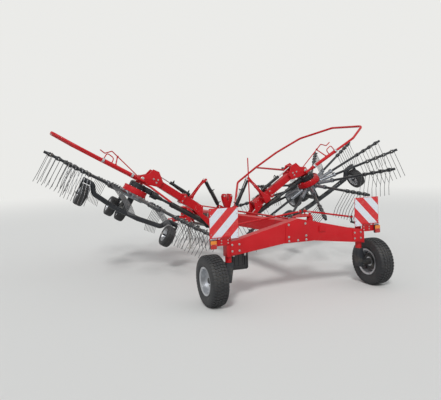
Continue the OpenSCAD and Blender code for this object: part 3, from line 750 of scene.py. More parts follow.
def repeat(name, part_mesh, places, body, finish_name, tag="", turn=0, size=1.0, stands_for=()):
    """Copies of a small mesh, one at each place of the right side or its mirror, as one piece."""
    name, places = titled(name, tag), mirrored(SIGN[tag], places, turn)
    cloud = bpy.data.meshes.new(name)
    cloud.from_pydata([m.translation for m in places], [], [])
    turn_layer = cloud.attributes.new("turn", "FLOAT_VECTOR", "POINT")
    size_layer = cloud.attributes.new("size", "FLOAT_VECTOR", "POINT")
    for k, m in enumerate(places):
        turn_layer.data[k].vector = m.to_euler("XYZ")
        size_layer.data[k].vector = m.to_scale()
    sample = linked(name + "_sample", part_mesh.copy())
    obj = grown(name, cloud, copies,
        {"Part": sample, "Size": size, "Finish": finishes[finish_name]})
    bpy.data.objects.remove(sample)
    return finished(obj, carrier_of(body, tag), finish_name, stands_for)


def tube(name, paths, radius, body, finish_name, sides=10, where=None, tag=""):
    """Round tubes along lines of points."""
    name = titled(name, tag)
    matrix = on_side(SIGN[tag], where or Matrix.Identity(4))
    points, edges = [], []
    for line_points in paths:
        first = len(points)
        points += [matrix @ Vector(p) for p in line_points]
        edges += [(k, k + 1) for k in range(first, len(points) - 1)]
    mesh = bpy.data.meshes.new(name)
    mesh.from_pydata(points, edges, [])
    obj = grown(name, mesh, tubes,
        {"Radius": radius, "Sides": sides, "Finish": finishes[finish_name]})
    return finished(obj, carrier_of(body, tag), finish_name)


def eased(points, reach, steps=5):
    """A line of straight runs with each corner rounded."""
    points = [Vector(p) for p in points]
    out = [points[0]]
    for before, corner_point, after in zip(points, points[1:], points[2:]):
        a = before - corner_point
        b = after - corner_point
        r = min(reach, a.length * 0.48, b.length * 0.48)
        p, q = corner_point + a.normalized() * r, corner_point + b.normalized() * r
        for k in range(steps + 1):
            t = k / steps
            out.append(p * (1 - t) ** 2 + corner_point * 2 * t * (1 - t) + q * t * t)
    return out + [points[-1]]


def facing(matrix, point, normal, spin=0.0, size=1.0):
    """A place at a point of a frame with its z axis along a direction."""
    z = Vector(normal).normalized()
    x = z.orthogonal().normalized()
    y = z.cross(x)
    turned = Matrix((x, y, z)).transposed().to_4x4()
    return matrix @ Matrix.Translation(point) @ turned @ about("Z", spin) @ Matrix.Scale(size, 4)


def mirrored(side, places, turn=0):
    """Places for the left side: mirrored, and turned back so that a symmetric part stays whole."""
    return places if side > 0 else [flip @ m @ flip @ about("Z", turn) for m in places]


# %% [markdown]
# ## Spring tines
# A rake tine is one length of spring wire: a leg, three coils round the arm, a bridge under the
# clip, three coils back and a second leg. The cam turns each arm, so the tines hang straight down
# at the front and are folded back behind the rotor. One tine is swept along its wire by the `tubes`
# tree, and `copies` sets 52 of them on each rotor.

# %% Tine wire
ARMS, ARM_STEP, ARM_PHASE = 13, 360 / 13, 19.0
TINE_START, TINE_PITCH, TINES = 1.22, 0.158, 4
TINE_LEG, TINE_TIP, TINE_GAP, WIRE, COIL = 0.370, 0.165, 0.080, 0.0095, 0.029
FOLD, FOLD_RISE, FOLD_FALL = 62.0, (170, 212), (295, 342)


def ramp(angle, low, high):
    t = min(1.0, max(0.0, (angle - low) / (high - low)))
    return t * t * (3 - 2 * t)


def fold_at(angle):
    a = angle % 360
    return FOLD * ramp(a, *FOLD_RISE) * (1 - ramp(a, *FOLD_FALL))


def tine_line():
    half = [(-TINE_GAP / 2, 0.014, -TINE_LEG - TINE_TIP)]
    half += eased([half[0], (-TINE_GAP / 2, -COIL, -TINE_LEG), (-TINE_GAP / 2, -COIL, -0.01)],
        0.02, 4)[1:]
    turns_round, inner = 3, -0.012
    for k in range(turns_round * 10 + 1):
        a = 2 * math.pi * k / 10
        x = -TINE_GAP / 2 + (inner + TINE_GAP / 2) * k / (turns_round * 10)
        half.append((x, -COIL * math.cos(a), COIL * math.sin(a)))
    return half + [(-x, y, z) for x, y, z in reversed(half)]


def edges_along(points):
    mesh = bpy.data.meshes.new("line")
    mesh.from_pydata(points, [(k, k + 1) for k in range(len(points) - 1)], [])
    return mesh


tine_object = grown("tine_wire", edges_along(tine_line()), tubes,
    {"Radius": WIRE / 2, "Sides": 6, "Finish": finishes["tine_steel"]})
tine_mesh = tine_object.data
bpy.data.objects.remove(tine_object)
tine_places, arm_places = [], []
for angle in (ARM_PHASE - k * ARM_STEP for k in range(ARMS)):
    arm = rotor_frame @ about("Z", angle)
    arm_places.append(arm)
    tine_places += [arm @ at(TINE_START + k * TINE_PITCH, 0, 0) @ about("X", -fold_at(angle))
        for k in range(TINES)]
clip = Form()
clip.ring((-0.011, 0, 0), RIGHT, mm(0, 34.5, 22, 34.5, 22, 38.5, 0, 38.5), 20)
clip.block((-0.011, -0.060, -0.012), (0.011, -0.036, 0.012))
clip_mesh = clip.mesh()
stud = Form().turned((0, -0.058, 0), BACK, mm(0, 12.5, 3, 12.5, 3, 9.5, 13, 9.5, 15, 6, 21, 6), 6)
stud.turned((0, 0, 0.037), UP, capped(0.0085, 0.007, 0.009, 0.006), 6)
stud = stud.mesh()
for tag, side in SIDES:
    wires = tine_mesh.copy()
    if side < 0:
        wires.transform(flip)
        wires.flip_normals()
    repeat("tine_wires", wires, tine_places, "rotor",
        "tine_steel", tag, stands_for=["tines_" + tag])
    repeat("tine_clips", clip_mesh, tine_places, "rotor", "graphite_paint", tag)
    repeat("tine_bolts", stud, tine_places, "rotor", "zinc_steel", tag)
print("tines", 2 * len(tine_places), "triangles each", len(tine_mesh.polygons) * 2)

# %% [markdown]
# ## Nuts and bolts
# A bolt head is a washer, a hexagon and the end of a thread. It is drawn once and repeated on
# the joints of the machine, in a size for each group. Each group belongs to one body.

# %% Fasteners
def bolt_mesh():
    """A bolt head 20 mm across its flats, pointing along z."""
    form = Form()
    form.turned((0, 0, -0.001), UP, [(0, 0.017), (0.004, 0.017)], 20)
    form.turned((0, 0, 0.003), UP, capped(0.0115, 0.011, 0.0125, 0.0100), 6)
    form.turned((0, 0, 0.015), UP, capped(0.0058, 0.005, 0.0065, 0.0046), 12)
    return form.mesh()


bolt = bolt_mesh()


def bolts(name, body, places, tag="", size=1.0):
    return repeat(name, bolt, places, body, "zinc_steel", tag, size=size)


def row(matrix, normal, points, size=1.0):
    return [facing(matrix, p, normal, 0.35 * k, size) for k, p in enumerate(points)]


def circle_of(count, radius, phase=0.0):
    return [(radius * math.cos(phase + 2 * math.pi * k / count),
        radius * math.sin(phase + 2 * math.pi * k / count)) for k in range(count)]


AXLE_FACE, WHEEL_FACE, WHEEL_Z = -0.086, 1.392, 0.365
axle_bolts = mm(-170, 1070, 110, 1070, -170, 890, -170, 830, -20, 830, 120, 890, 120, 830)
frame_places = row(machine, BACK, [(x, AXLE_FACE, z) for x, z in axle_bolts])
frame_places += row(machine, BACK, [(s * (1.03 + dx), -0.092, z)
    for s in (-1, 1) for dx in (-0.055, 0.055) for z in (0.77, 0.86)], 0.9)
for y, normal in ((2.32, BACK), (2.64, AHEAD)):
    frame_places += row(machine, normal, [(s * x, y, z) for s in (-1, 1)
        for x, z in ((0.06, 0.81), (0.06, 0.93), (0.15, 0.80), (0.15, 0.92))])
for s in (-1, 1):
    frame_places += row(machine, BACK, [(s * 0.34 + 0.055, 2.32, 0.762)], 0.8)
frame_places += row(machine, DOWN,
    [(x, 2.48 + y, 0.62) for x in (-0.085, 0.085) for y in (-0.065, 0.065)])
frame_places += row(machine, BACK, [(0.11 * math.cos(a) * 0.8, 2.39, 0.69 + 0.055 * math.sin(a))
    for a in (0.5, 2.6, 3.7, 5.8)], 0.7)
bolts("frame_bolts", "frame", frame_places)
bolts("headstock_bolts", "headstock", row(machine, BACK, [(s * x, 4.85, z)
    for s in (-1, 1) for x in (0.11, 0.15) for z in (0.72, 0.90)]))
for tag, side in SIDES:
    outer = []
    pairs = [(x, z) for x in (0.43, 0.49) for z in (0.10, 0.20)]
    for spots, size in ((pairs, 1.0), ([(0.81, 0.10), (0.81, 0.20)], 0.9)):
        for s in (-1, 1):
            outer += row(boom_frame, (0, s, 0), [(x, s * 0.096, z) for x, z in spots], size)
    for z, normal in ((0.246, UP), (0.054, DOWN)):
        outer += row(boom_frame, normal, [(0.81, y, z) for y in (-0.05, 0.05)], 0.9)
    bolts("boom_bolts", "boom", outer, tag)
    arm_bolts = []
    for y, normal in ((-0.125, BACK), (0.125, AHEAD)):
        arm_bolts += row(boom_frame, normal,
            [(u, y, w) for u, w in ((1.44, 0.13), (1.44, 0.19), (1.52, 0.16))])
    arm_bolts += row(rotor_frame, UP, [(x, y, 0.146) for x, y in circle_of(12, 0.205, 0.2)], 0.8)
    arm_bolts += row(rotor_frame, UP, [(x, y, 0.256) for x, y in circle_of(8, 0.125, 0.1)], 0.8)
    bolts("arm_bolts", "arm", arm_bolts, tag)
    clamp = [p for arm in arm_places
        for p in row(arm, UP, [(x, 0, 0.033) for x in (0.30, 0.50)], 0.7)]
    bolts("socket_bolts", "rotor", clamp, tag)
    nuts = row(machine, RIGHT, [(WHEEL_FACE, y, WHEEL_Z + z) for y, z in circle_of(6, 0.098)])
    bolts("wheel_nuts", "road_wheel", nuts, tag)
print("bolts placed")

# %% [markdown]
# ## Warning boards and lamps
# The two boards at the rear are sheet metal with slanting red and white film, and they stand on a
# narrow red frame. The stripes come from the material: a band number is worked out from how far
# across and how high a point is, and its fraction picks red or white. Each lamp is a red bracket, a
# black housing and a two-colour lens whose ribs are a wave in the bump.


# %% Boards and lamps
BOARD_X, BOARD_Z, BOARD_SIDE = 1.2, 1.1715, 0.443
LENS_SPLIT = 0.889


def rounded_outline(low, high, radius, steps=4):
    """A rectangle with round corners, as a list of points."""
    (a, c), (b, d) = low, high
    out = []
    for x, z, first in ((b - radius, d - radius, 0), (a + radius, d - radius, 90),
            (a + radius, c + radius, 180), (b - radius, c + radius, 270)):
        for k in range(steps + 1):
            t = math.radians(first + 90 * k / steps)
            out.append((x + radius * math.cos(t), z + radius * math.sin(t)))
    return out


half = BOARD_SIDE / 2
for tag, side in SIDES:
    striped("board_sheet_" + tag, side, side * BOARD_X, BOARD_Z, BOARD_SIDE)
    face = Form().plate(rounded_outline((BOARD_X - half + 0.006, BOARD_Z - half + 0.005),
        (BOARD_X + half - 0.006, BOARD_Z + half - 0.005), 0.008), -0.0965, -0.0945)
    obj = linked("board_face_" + tag, face.mesh(machine, side))
    obj.data.materials.append(finishes["board_sheet_" + tag])
    finished(obj, "frame", "board_sheet", ["warning_boards"])
    back = Form().plate(rounded_outline((BOARD_X - half, BOARD_Z - half),
        (BOARD_X + half, BOARD_Z + half), 0.012), -0.0945, -0.092)
    for z in (1.03, 1.30):
        back.block((BOARD_X - half + 0.03, -0.092, z - 0.018),
            (BOARD_X + half - 0.03, -0.078, z + 0.018))
    back.block((BOARD_X - 0.03, -0.078, 0.90), (BOARD_X + 0.03, -0.066, 1.34))
    piece("board_back", back, "frame", "red_paint", machine, tag, 0.0012)
    rivets = [(x, -0.0965, z) for x in (BOARD_X - half + 0.022, BOARD_X + half - 0.022)
        for z in (BOARD_Z - half + 0.025, BOARD_Z + half - 0.025, 1.03, 1.30)]
    bolts("board_rivets", "frame", row(machine, BACK, rivets), tag, size=0.42)

    carrier = Form().plate(mm(1112, 985, 1112, 885, 1175, 862, 1410,
        862, 1425, 880, 1425, 965, 1400, 985), -0.092, -0.086)
    carrier.plate(mm(1112, 985, 1410, 985, 1410, 979, 1112, 979), -0.120, -0.086)
    carrier.plate(mm(-92, 985, -120, 985, -120, 975, -92, 890), 1.112, 1.118, "yz")
    carrier.plate(mm(-92, 985, -118, 985, -118, 965, -92, 900), 1.306, 1.312, "yz")
    piece("lamp_bracket", carrier, "frame", "red_paint", machine, tag, 0.0012, ["lamps"])
    housing = Form().plate(rounded_outline((1.328, 0.828), (1.425, 0.950), 0.012), -0.118, -0.092)
    housing.plate(rounded_outline((1.345, 0.845), (1.408, 0.933), 0.010), -0.088, -0.074)
    housing.bar((1.376, -0.082, 0.846), (1.376, -0.082, 0.826), 0.012, 12)
    piece("lamp_housing", housing, "frame", "black_plastic", machine, tag, 0.002)
    lens("lamp_lens_" + tag, LENS_SPLIT + 0.008)
    cover = Form().plate(rounded_outline((1.332, 0.832), (1.421, 0.946), 0.010), -0.130, -0.116)
    obj = linked("lamp_lens_" + tag, cover.mesh(machine, side, 0.003))
    obj.data.materials.append(finishes["lamp_lens_" + tag])
    finished(obj, "frame", "lamp_lens")
    screws = [(1.341, -0.130, 0.889), (1.412, -0.130, 0.889)]
    bolts("lamp_screws", "frame", row(machine, BACK, screws), tag, size=0.28)
    plates = [(x, -0.092, z) for x in (1.145, 1.245) for z in (0.895, 0.935)]
    bolts("lamp_bolts", "frame", row(machine, BACK, plates), tag, size=0.6)
print("boards and lamps on", len(SIDES), "sides")

# %% [markdown]
# ## Road tyres
# An implement tyre has a smooth carcass and five rows of tread blocks with grooves between them.
# The carcass is a profile turned about the axle. One slice of tread, five blocks wide, is drawn
# flat and repeated round it by `copies`. The base between the blocks is marked with an attribute,
# so the rubber finish lets dirt settle there.


# %% Tyres of the road wheels
TYRE_X, TYRE_R, SLICES = 1.37, 0.3645, 46
VALVE_TURN, GROOVE_FLOOR = 2.2, 0.344


def mark(mesh, name, test):
    """Store 1 on the faces whose centre passes a test."""
    layer = mesh.attributes.new(name, "FLOAT", "FACE")
    layer.data.foreach_set("value", [1.0 if test(p.center) else 0.0 for p in mesh.polygons])


wheel_frame = machine @ at(TYRE_X, 0, WHEEL_Z)
wall = mm(90, 190, 101, 205.8, 113, 217, 118.5, 223.5, 117, 229, 122, 240, 124.5, 262, 124.8, 285,
    122.5, 290, 122.5, 293, 123.5, 296, 121.5, 312,
    119.5, 315, 119, 320, 115, 333, 106, 343, 86, 351.5)
profile = [(-x, r) for x, r in wall] + [(0.0, 0.3535)] + [(x, r) for x, r in reversed(wall)]
slice_form = Form()
slice_form.plate(mm(-17, -21, 17, -13, 17, 21, -17, 13), -0.014, 0, "xy")
for s, shift in ((-1, -0.011), (1, 0.011)):
    blocks = [(0.026 * s, -0.015 + shift), (0.066 * s, -0.021 + shift),
        (0.066 * s, 0.013 + shift), (0.026 * s, 0.019 + shift)]
    slice_form.plate(blocks, -0.016, -0.0006, "xy")
    shoulder = mm(75, -18, 75, -1.6, 93, -4.5, 106, -11.5, 115, -23, 120.5, -38, 115, -42, 100, -26)
    slice_form.plate([(s * x, z) for x, z in shoulder], -0.016, 0.016)
slice_mesh = slice_form.mesh(soft=0.0014, segments=1)
slice_places = [wheel_frame @ about("X", 360 * k / SLICES) @ at(0, 0, TYRE_R)
    for k in range(SLICES)]
for tag, side in SIDES:
    carcass = linked("tyre_wall_" + tag,
        Form().ring((0, 0, 0), RIGHT, profile, 72).mesh(wheel_frame, side))
    hub = Vector((side * TYRE_X, AXLE_Y, WHEEL_Z))
    mark(carcass.data, "groove", lambda c: math.hypot(c.y - hub.y, c.z - hub.z) > GROOVE_FLOOR)
    finished(carcass, "road_wheel_" + tag, "tyre_rubber", ["road_tyre_" + tag])
    repeat("tyre_tread", slice_mesh, slice_places, "road_wheel", "tyre_rubber", tag)
    # A black disc inboard of the rim: partly the wheel's real hub drum, partly painted shade that
    # keeps the dish of the rim dark from the inboard side.
    drum_and_dish_shade = Form().turned((-0.058, 0, 0), RIGHT,
        mm(0, 88, 0, 124, 6, 130, 40, 130, 46, 124, 52, 118), 40)
    for y, z in circle_of(6, 0.109, 0.3):
        drum_and_dish_shade.bar((-0.064, y, z), (-0.056, y, z), 0.016, 6)
    piece("wheel_drum", drum_and_dish_shade, "road_wheel", "black_paint", wheel_frame, tag, 0.0015)
    cap = Form().turned((0.018, 0, 0), RIGHT, mm(0, 66, 5, 66, 8, 47, 30, 44, 40, 36, 44.5, 18), 32)
    piece("wheel_cap", cap, "road_wheel", "graphite_paint", wheel_frame, tag, 0.001)
    valve = [(x, r * math.cos(VALVE_TURN), r * math.sin(VALVE_TURN))
        for x, r in ((0.020, 0.166), (0.034, 0.164), (0.052, 0.152))]
    tube("wheel_valve", [valve], 0.0045, "road_wheel", "black_plastic", 8, wheel_frame, tag)
print("tread blocks", 2 * 5 * SLICES)

# %% [markdown]
# ## Small wheels
# Each rotor runs on four small wheels with ribbed tyres. Tyre and rim are turned profiles, and the
# ribs are in the profile itself, because a round groove needs no copies. One wheel is built and set
# at each of the four places, the last two of them on the castor.

# %% Rotor wheels
SMALL_Z, SMALL_OUT, SMALL_BACK, CASTOR_Y, TWIN_OUT = -0.381, 0.88, -0.25, 0.735, 0.1175
ribs = mm(58, 117, 70, 124, 79, 140, 81.5, 160, 79.5, 166, 80, 169, 76, 182, 67, 191.5, 52, 196, 51,
    190, 45, 189, 44, 197.2, 29, 198.6, 28, 191, 22, 190.5, 21, 199, 8, 199.6, 7, 191.6, 2, 191.4)
small_tyre = [(-x, r) for x, r in ribs] + [(x, r) for x, r in reversed(ribs)]
half_rim = mm(60, 112, 70, 120, 72, 124, 68, 127, 57, 119, 30, 106)
small_rim = [(-x, r) for x, r in half_rim] + [(x, r) for x, r in reversed(half_rim)]
small_rim += mm(34, 98, 14, 93, 10, 60, 26, 46, 30, 30, 30, 15.8)
small_rim += mm(-30, 15.8, -30, 30, -26, 46, 2, 60, 4, 91, -34, 98)
wheel_spots = (
    ("outer", [(SMALL_OUT, SMALL_BACK, 1)]), ("inner", [(-SMALL_OUT, SMALL_BACK, -1)]),
    ("twin", [(-TWIN_OUT, CASTOR_Y, -1), (TWIN_OUT, CASTOR_Y, 1)]),
)
for tag, side in SIDES:
    for name, spots in wheel_spots:
        node = "wheel_" + name + "_" + tag
        rubber_form, steel_form, nuts = Form(), Form(), []
        for x, y, out in spots:
            rubber_form.ring((x, y, SMALL_Z), RIGHT, small_tyre, 48)
            steel_form.ring((x, y, SMALL_Z), (-out, 0, 0), small_rim, 40)
            nuts += row(rotor_frame, (out, 0, 0),
                [(x + out * -0.002, y + a, SMALL_Z + b) for a, b in circle_of(5, 0.076)], 0.55)
        tyre = piece("small_tyre_" + name, rubber_form, "wheel_" + name,
            "tyre_rubber", rotor_frame, tag, 0.0, [node])
        wheels = on_side(side, rotor_frame)
        hub_line = [wheels @ Vector((x, y, SMALL_Z)) for x, y, out in spots]
        axis = wheels.to_3x3() @ Vector(RIGHT)

        def in_groove(c):
            """True on the floor of a groove between two ribs."""
            for h in hub_line:
                along = (c - h).dot(axis)
                if abs(along) < 0.055 and 0.1885 < ((c - h) - axis * along).length < 0.1938:
                    return True
            return False

        mark(tyre.data, "groove", in_groove)
        piece("small_rim_" + name, steel_form, "wheel_" + name, "silver_rim", rotor_frame, tag)
        bolts("small_nuts_" + name, "wheel_" + name, nuts, tag)
    ends = []
    for s in (-1, 1):
        ends += row(rotor_frame, (-s, 0, 0), [(s * 0.7735, SMALL_BACK, SMALL_Z)], 1.5)
        ends += row(rotor_frame, (s, 0, 0), [(s * 0.9870, SMALL_BACK, SMALL_Z)], 1.5)
    bolts("axle_nuts", "arm", ends, tag)
    twin_ends = []
    for s in (1, -1):
        twin_ends += row(rotor_frame, (s, 0, 0), [(s * 0.2245, CASTOR_Y, SMALL_Z)], 1.5)
    bolts("castor_nuts", "castor", twin_ends, tag)
print("small wheels", 2 * sum(len(spots) for name, spots in wheel_spots))

# %% [markdown]
# ## Wheel chock and marker rod
# A moulded black wheel chock hangs in its holder under the axle beam. It is a rounded plate with a
# raised rim and ribs. The thin upright rod by the right boom is a round bar in a welded foot.

# %% Chock and rod
chock = Form().plate(rounded_outline((-1.05, 0.46), (-0.77, 0.76), 0.035), 0.072, 0.096)
for low, high in (((-1.05, 0.46), (-0.77, 0.76)), ((-1.01, 0.50), (-0.81, 0.72))):
    outer = rounded_outline(low, high, 0.032)
    inner = rounded_outline((low[0] + 0.010, low[1] + 0.010),
        (high[0] - 0.010, high[1] - 0.010), 0.024)
    count = len(outer)
    points = [(x, y, z) for line in (outer, inner) for y in (0.060, 0.074) for x, z in line]
    faces = []
    for k in range(count):
        n = (k + 1) % count
        faces += [(k, n, count + n, count + k),
            (2 * count + k, 3 * count + k, 3 * count + n, 2 * count + n)]
        faces += [(k, 2 * count + k, 2 * count + n, n),
            (count + k, count + n, 3 * count + n, 3 * count + k)]
    chock.add(points, faces)
for x in (-0.975, -0.91, -0.845):
    chock.block((x - 0.006, 0.066, 0.51), (x + 0.006, 0.074, 0.71))
chock.block((-1.03, 0.094, 0.49), (-0.79, 0.112, 0.52))
chock.block((-1.03, 0.094, 0.60), (-0.79, 0.112, 0.63))
piece("chock_body", chock, "frame", "black_plastic", machine, "", 0.002, ["wheel_chock"])
strap = Form()
for x in (-1.00, -0.82):
    strap.block((x - 0.015, 0.052, 0.66), (x + 0.015, 0.060, 0.80))
    strap.block((x - 0.015, 0.052, 0.775), (x + 0.015, 0.105, 0.785))
piece("chock_straps", strap, "frame", "zinc_steel", machine, "", 0.001)
rod = Form().bar((0.368, -0.115, 0.745), (0.350, -0.115, 2.064), 0.022, 16)
rod.turned((0.3675, -0.115, 0.775), (-0.0015, 0, 0.085), mm(0, 20, 60, 17, 62, 12), 20)
rod.block((0.345, -0.135, 0.738), (0.392, -0.009, 0.750))
rod.plate(mm(-9, 744, -9, 795, -100, 744), 0.365, 0.371, "yz")
piece("marker_rod", rod, "frame", "red_paint", None, "", 0.0015)
print("chock and rod placed")

# %% [markdown]
# ## Cylinders and their pipes
# A hydraulic cylinder is more than a tube: it has a gland nut where the rod leaves, ports with
# fittings, and a steel pipe along its side. A black half shell guards the lift cylinder's rod and
# slides along the barrel. Every pipe lies close to the part that carries it, so none hangs free.

# %% Cylinders and pipes
LIFT_LENGTH, OVER = 0.598, 0.285  # pin to pin, and the height of the reach cylinder on its boom


def fitting(form, point, direction, size):
    """A hose end: a hexagon, a ferrule and a collar."""
    p, d = Vector(point), Vector(direction).normalized()
    form.turned(p, d, [(0, size), (0.012, size)], 6)
    form.turned(p + d * 0.012, d, capped(size * 0.8, 0.026, 0.030, size * 0.68), 12)
    return form


def shell(form, low, high, inner, outer, first, last, steps=24):
    """A part of a tube along x, from one angle to another, open in between."""
    points = []
    for k in range(steps + 1):
        a = math.radians(first + (last - first) * k / steps)
        points += [(x, r * math.sin(a), r * math.cos(a))
            for x in (low, high) for r in (inner, outer)]
    faces = [(0, 2, 3, 1), tuple(4 * steps + k for k in (0, 1, 3, 2))]
    for b in range(0, 4 * steps, 4):
        n = b + 4
        faces += [(b, b + 1, n + 1, n), (b + 2, n + 2, n + 3, b + 3),
            (b, n, n + 2, b + 2), (b + 1, b + 3, n + 3, n + 1)]
    return form.add(points, faces)


for tag, side in SIDES:
    for_lift = lift_frame(side)
    gland = Form().turned((0.386, 0, 0), RIGHT, mm(0, 35.2, 0, 36.2, 16, 36.2, 19, 33, 21, 26), 28)
    for x in (0.085, 0.365):
        gland.turned((x, 0, 0.030), UP, capped(0.013, 0.014, 0.016, 0.011), 14)
        fitting(gland, (x, 0, 0.044), UP, 0.009)
    piece("lift_gland", gland, "lift_barrel", "black_paint", for_lift, tag, 0.0008)
    line_points = eased([(0.085, 0, 0.080), (0.085, 0.012, 0.062), (0.110, 0.020, 0.047),
        (0.330, 0.020, 0.047), (0.362, 0.012, 0.062), (0.365, 0, 0.080)], 0.02)
    tube("lift_pipe", [line_points], 0.0048, "lift_barrel", "zinc_steel", 10, for_lift, tag)
    shroud = shell(Form(), 0.345, 0.580, 0.0368, 0.0392, 55, 305)
    for y in (-0.0382, 0.0364):
        shroud.block((0.560, y, -0.012), (0.585, y + 0.0018, 0.012))
    piece("lift_shroud", shroud, "lift_rod", "black_paint", for_lift, tag)
    pins, far_pins = Form(), Form()
    for s in (-1, 1):
        y = s * 0.043
        pins.turned((0, y - s * 0.005, 0), (0, s, 0), capped(0.019, 0.007, 0.009, 0.016), 20)
        pins.bar((-0.012, y + s * 0.001, 0.024), (0.012, y + s * 0.001, -0.024), 0.005, 8)
    piece("lift_pin", pins, "frame", "zinc_steel", for_lift, tag, 0.0006)
    for s in (-1, 1):
        y = s * 0.060
        far_pins.turned((LIFT_LENGTH, y - s * 0.004, 0),
            (0, s, 0), capped(0.019, 0.007, 0.009, 0.016), 20)
    piece("lever_pin", far_pins, "boom", "zinc_steel", for_lift, tag, 0.0006)

    reach_gland = Form().turned((1.158, 0, OVER), RIGHT, mm(0, 30.2, 0, 32.5, 20, 32.5, 24, 24), 24)
    for x in (0.775, 1.130):
        reach_gland.turned((x, 0, OVER + 0.026), UP, [(0, 0.012), (0.012, 0.012)], 12)
        fitting(reach_gland, (x, 0, OVER + 0.036), UP, 0.009)
    piece("reach_gland", reach_gland, "boom", "black_paint", boom_frame, tag, 0.0008)
    runs = []
    for k, x in ((0, 1.130), (1, 0.775)):
        y = 0.040 + 0.016 * k
        runs.append(eased([(x, 0, OVER + 0.072), (x - 0.02, 0.020, OVER + 0.055),
            (x - 0.05, y, OVER - 0.02), (0.70, y, 0.242), (0.58, y, 0.240), (0.50, y, 0.238)],
            0.03))
    tube("reach_hoses", runs, 0.0075, "boom", "hose_rubber", 10, boom_frame, tag)
    block = Form().block((0.465, 0.028, 0.218), (0.520, 0.090, 0.252))
    for y in (0.040, 0.056, 0.076):
        fitting(block, (0.520, y, 0.239), RIGHT, 0.009)
        fitting(block, (0.465, y, 0.239), LEFT, 0.009)
    for x in (0.62, 0.75):
        block.block((x - 0.012, 0.026, 0.229), (x + 0.012, 0.070, 0.251))
    piece("boom_manifold", block, "boom", "zinc_steel", boom_frame, tag, 0.0015)
print("cylinders dressed", 2 * len(SIDES))

# %% [markdown]
# ## Stand, beam pipes and central gearbox
# The lift cylinders stand on a welded V over the main beam. Three black lines run from near the
# hitch to a valve block beside it, held by clamps on the beam's side. The castings of the central
# gearbox carry ribs, a filler plug and flanges.

# %% Middle of the machine
stand = Form()
ear_outline = mm(50, 975, 48, 1130, 88, 1235, 101, 1320, 80, 1366, 27, 1372, 24, 1262, 0, 1232)
v_shape = ear_outline + [(-x, z) for x, z in reversed(ear_outline[:-1])]
for y in (2.429, 2.531):
    stand.plate(v_shape, y - 0.005, y + 0.005)
for s in (-1, 1):
    stand.plate(mm(2434, 1135, 2526, 1135, 2526, 1225, 2434, 1225),
        s * 0.060 - 0.004, s * 0.060 + 0.004, "yz")
piece("lift_stand", stand, "frame", "red_paint", machine, "", 0.0012)
cross_pins = Form()
for s in (-1, 1):
    cross_pins.bar((s * 0.070, 2.412, 1.330), (s * 0.070, 2.548, 1.330), 0.018, 16)
    for y, way in ((2.424, -1), (2.536, 1)):
        cross_pins.turned((s * 0.070, y, 1.330), (0, way, 0),
            capped(0.017, 0.004, 0.006, 0.013), 16)
piece("stand_pins", cross_pins, "frame", "zinc_steel", machine, "", 0.0006)

post = Form().ring((0.40, 0.235, 1.008), UP,
    mm(0, 30.2, 0, 66, 10, 66, 14, 50, 108, 46, 109, 30.2), 36)
post.block((0.345, -0.094, 0.925), (0.455, -0.080, 1.014))
for x in (0.352, 0.448):
    post.plate(mm(-80, 1010, 170, 1010, 185, 1060, 120, 1045), x - 0.004, x + 0.004, "yz")
piece("post_sleeve", post, "frame", "red_paint", machine, "", 0.0012)
doubler = Form().plate(mm(-225, 806, 175, 806, 175, 1088, 0, 1126, -225, 1074), -0.0862, -0.0795)
piece("axle_doubler", doubler, "frame", "red_paint", machine, "", 0.0012)


def beam_top(y):
    return 1.10 - 0.045 * y


PIPE_DROPS = (0.050, 0.072, 0.094)
lines, clamps = [], Form()
for drop in PIPE_DROPS:
    lines.append(eased([(-0.102, y, beam_top(y) - drop) for y in (4.12, 3.6, 3.0, 2.78)]
        + [(-0.112, 2.70, beam_top(2.70) - drop)], 0.03))
tube("beam_pipes", lines, 0.0065, "frame", "hose_rubber", 10, machine)
for y in (4.05, 3.65, 3.25, 2.85):
    z = beam_top(y) - 0.072
    clamps.block((-0.112, y - 0.014, z - 0.036), (-0.089, y + 0.014, z + 0.036))
clamps.block((-0.150, 2.635, 0.880), (-0.089, 2.715, 0.985))
for drop in PIPE_DROPS:
    fitting(clamps, (-0.112, 2.713, beam_top(2.70) - drop), AHEAD, 0.010)
    fitting(clamps, (-0.102, 4.110, beam_top(4.12) - drop), AHEAD, 0.010)
for z in (0.905, 0.935, 0.965):
    clamps.turned((-0.150, 2.675, z), LEFT, mm(0, 11, 12, 11, 12, 7, 22, 7), 14)
piece("beam_clamps", clamps, "frame", "zinc_steel", machine, "", 0.0015)

casting = Form()
for x in (-0.075, -0.025, 0.025, 0.075):
    for y in (2.384, 2.566):
        casting.block((x - 0.005, y, 0.635), (x + 0.005, y + 0.010, 0.745))
for s in (-1, 1):
    casting.turned((s * 0.108, 2.48, 0.69), (s, 0, 0), capped(0.070, 0.010, 0.014, 0.060), 32)
    for a, b in circle_of(6, 0.059, 0.3):
        casting.turned((s * 0.116, 2.48 + a, 0.69 + b),
            (s, 0, 0), [(0, 0.0075), (0.009, 0.0075)], 6)
casting.turned((0.07, 2.42, 0.758), UP, mm(0, 14, 14, 14, 16, 9, 30, 9), 6)
piece("gearbox_ribs", casting, "frame", "black_paint", machine, "", 0.0012)
beads = []
for s in (-1, 1):
    beads.append([(s * 0.092, y, beam_top(y) - 0.2 + 0.012) for y in (0.75, 1.5, 2.25)])
    beads.append([(s * 0.047, 2.436, beam_top(2.44) + 0.002),
        (s * 0.047, 2.524, beam_top(2.52) + 0.002)])
    beads.append([(s * 0.092, 0.062, 0.86), (s * 0.092, 0.062, 1.07)])
tube("frame_welds", beads, 0.0045, "frame", "red_paint", 8, machine)
print("beam pipes", len(lines))

# %% [markdown]
# ## Drive shafts
# The guards of the drive shafts are black plastic tubes that end in soft cone bells with ribs. The
# cone is turned, and its ribs are copies set round it by the `copies` tree.

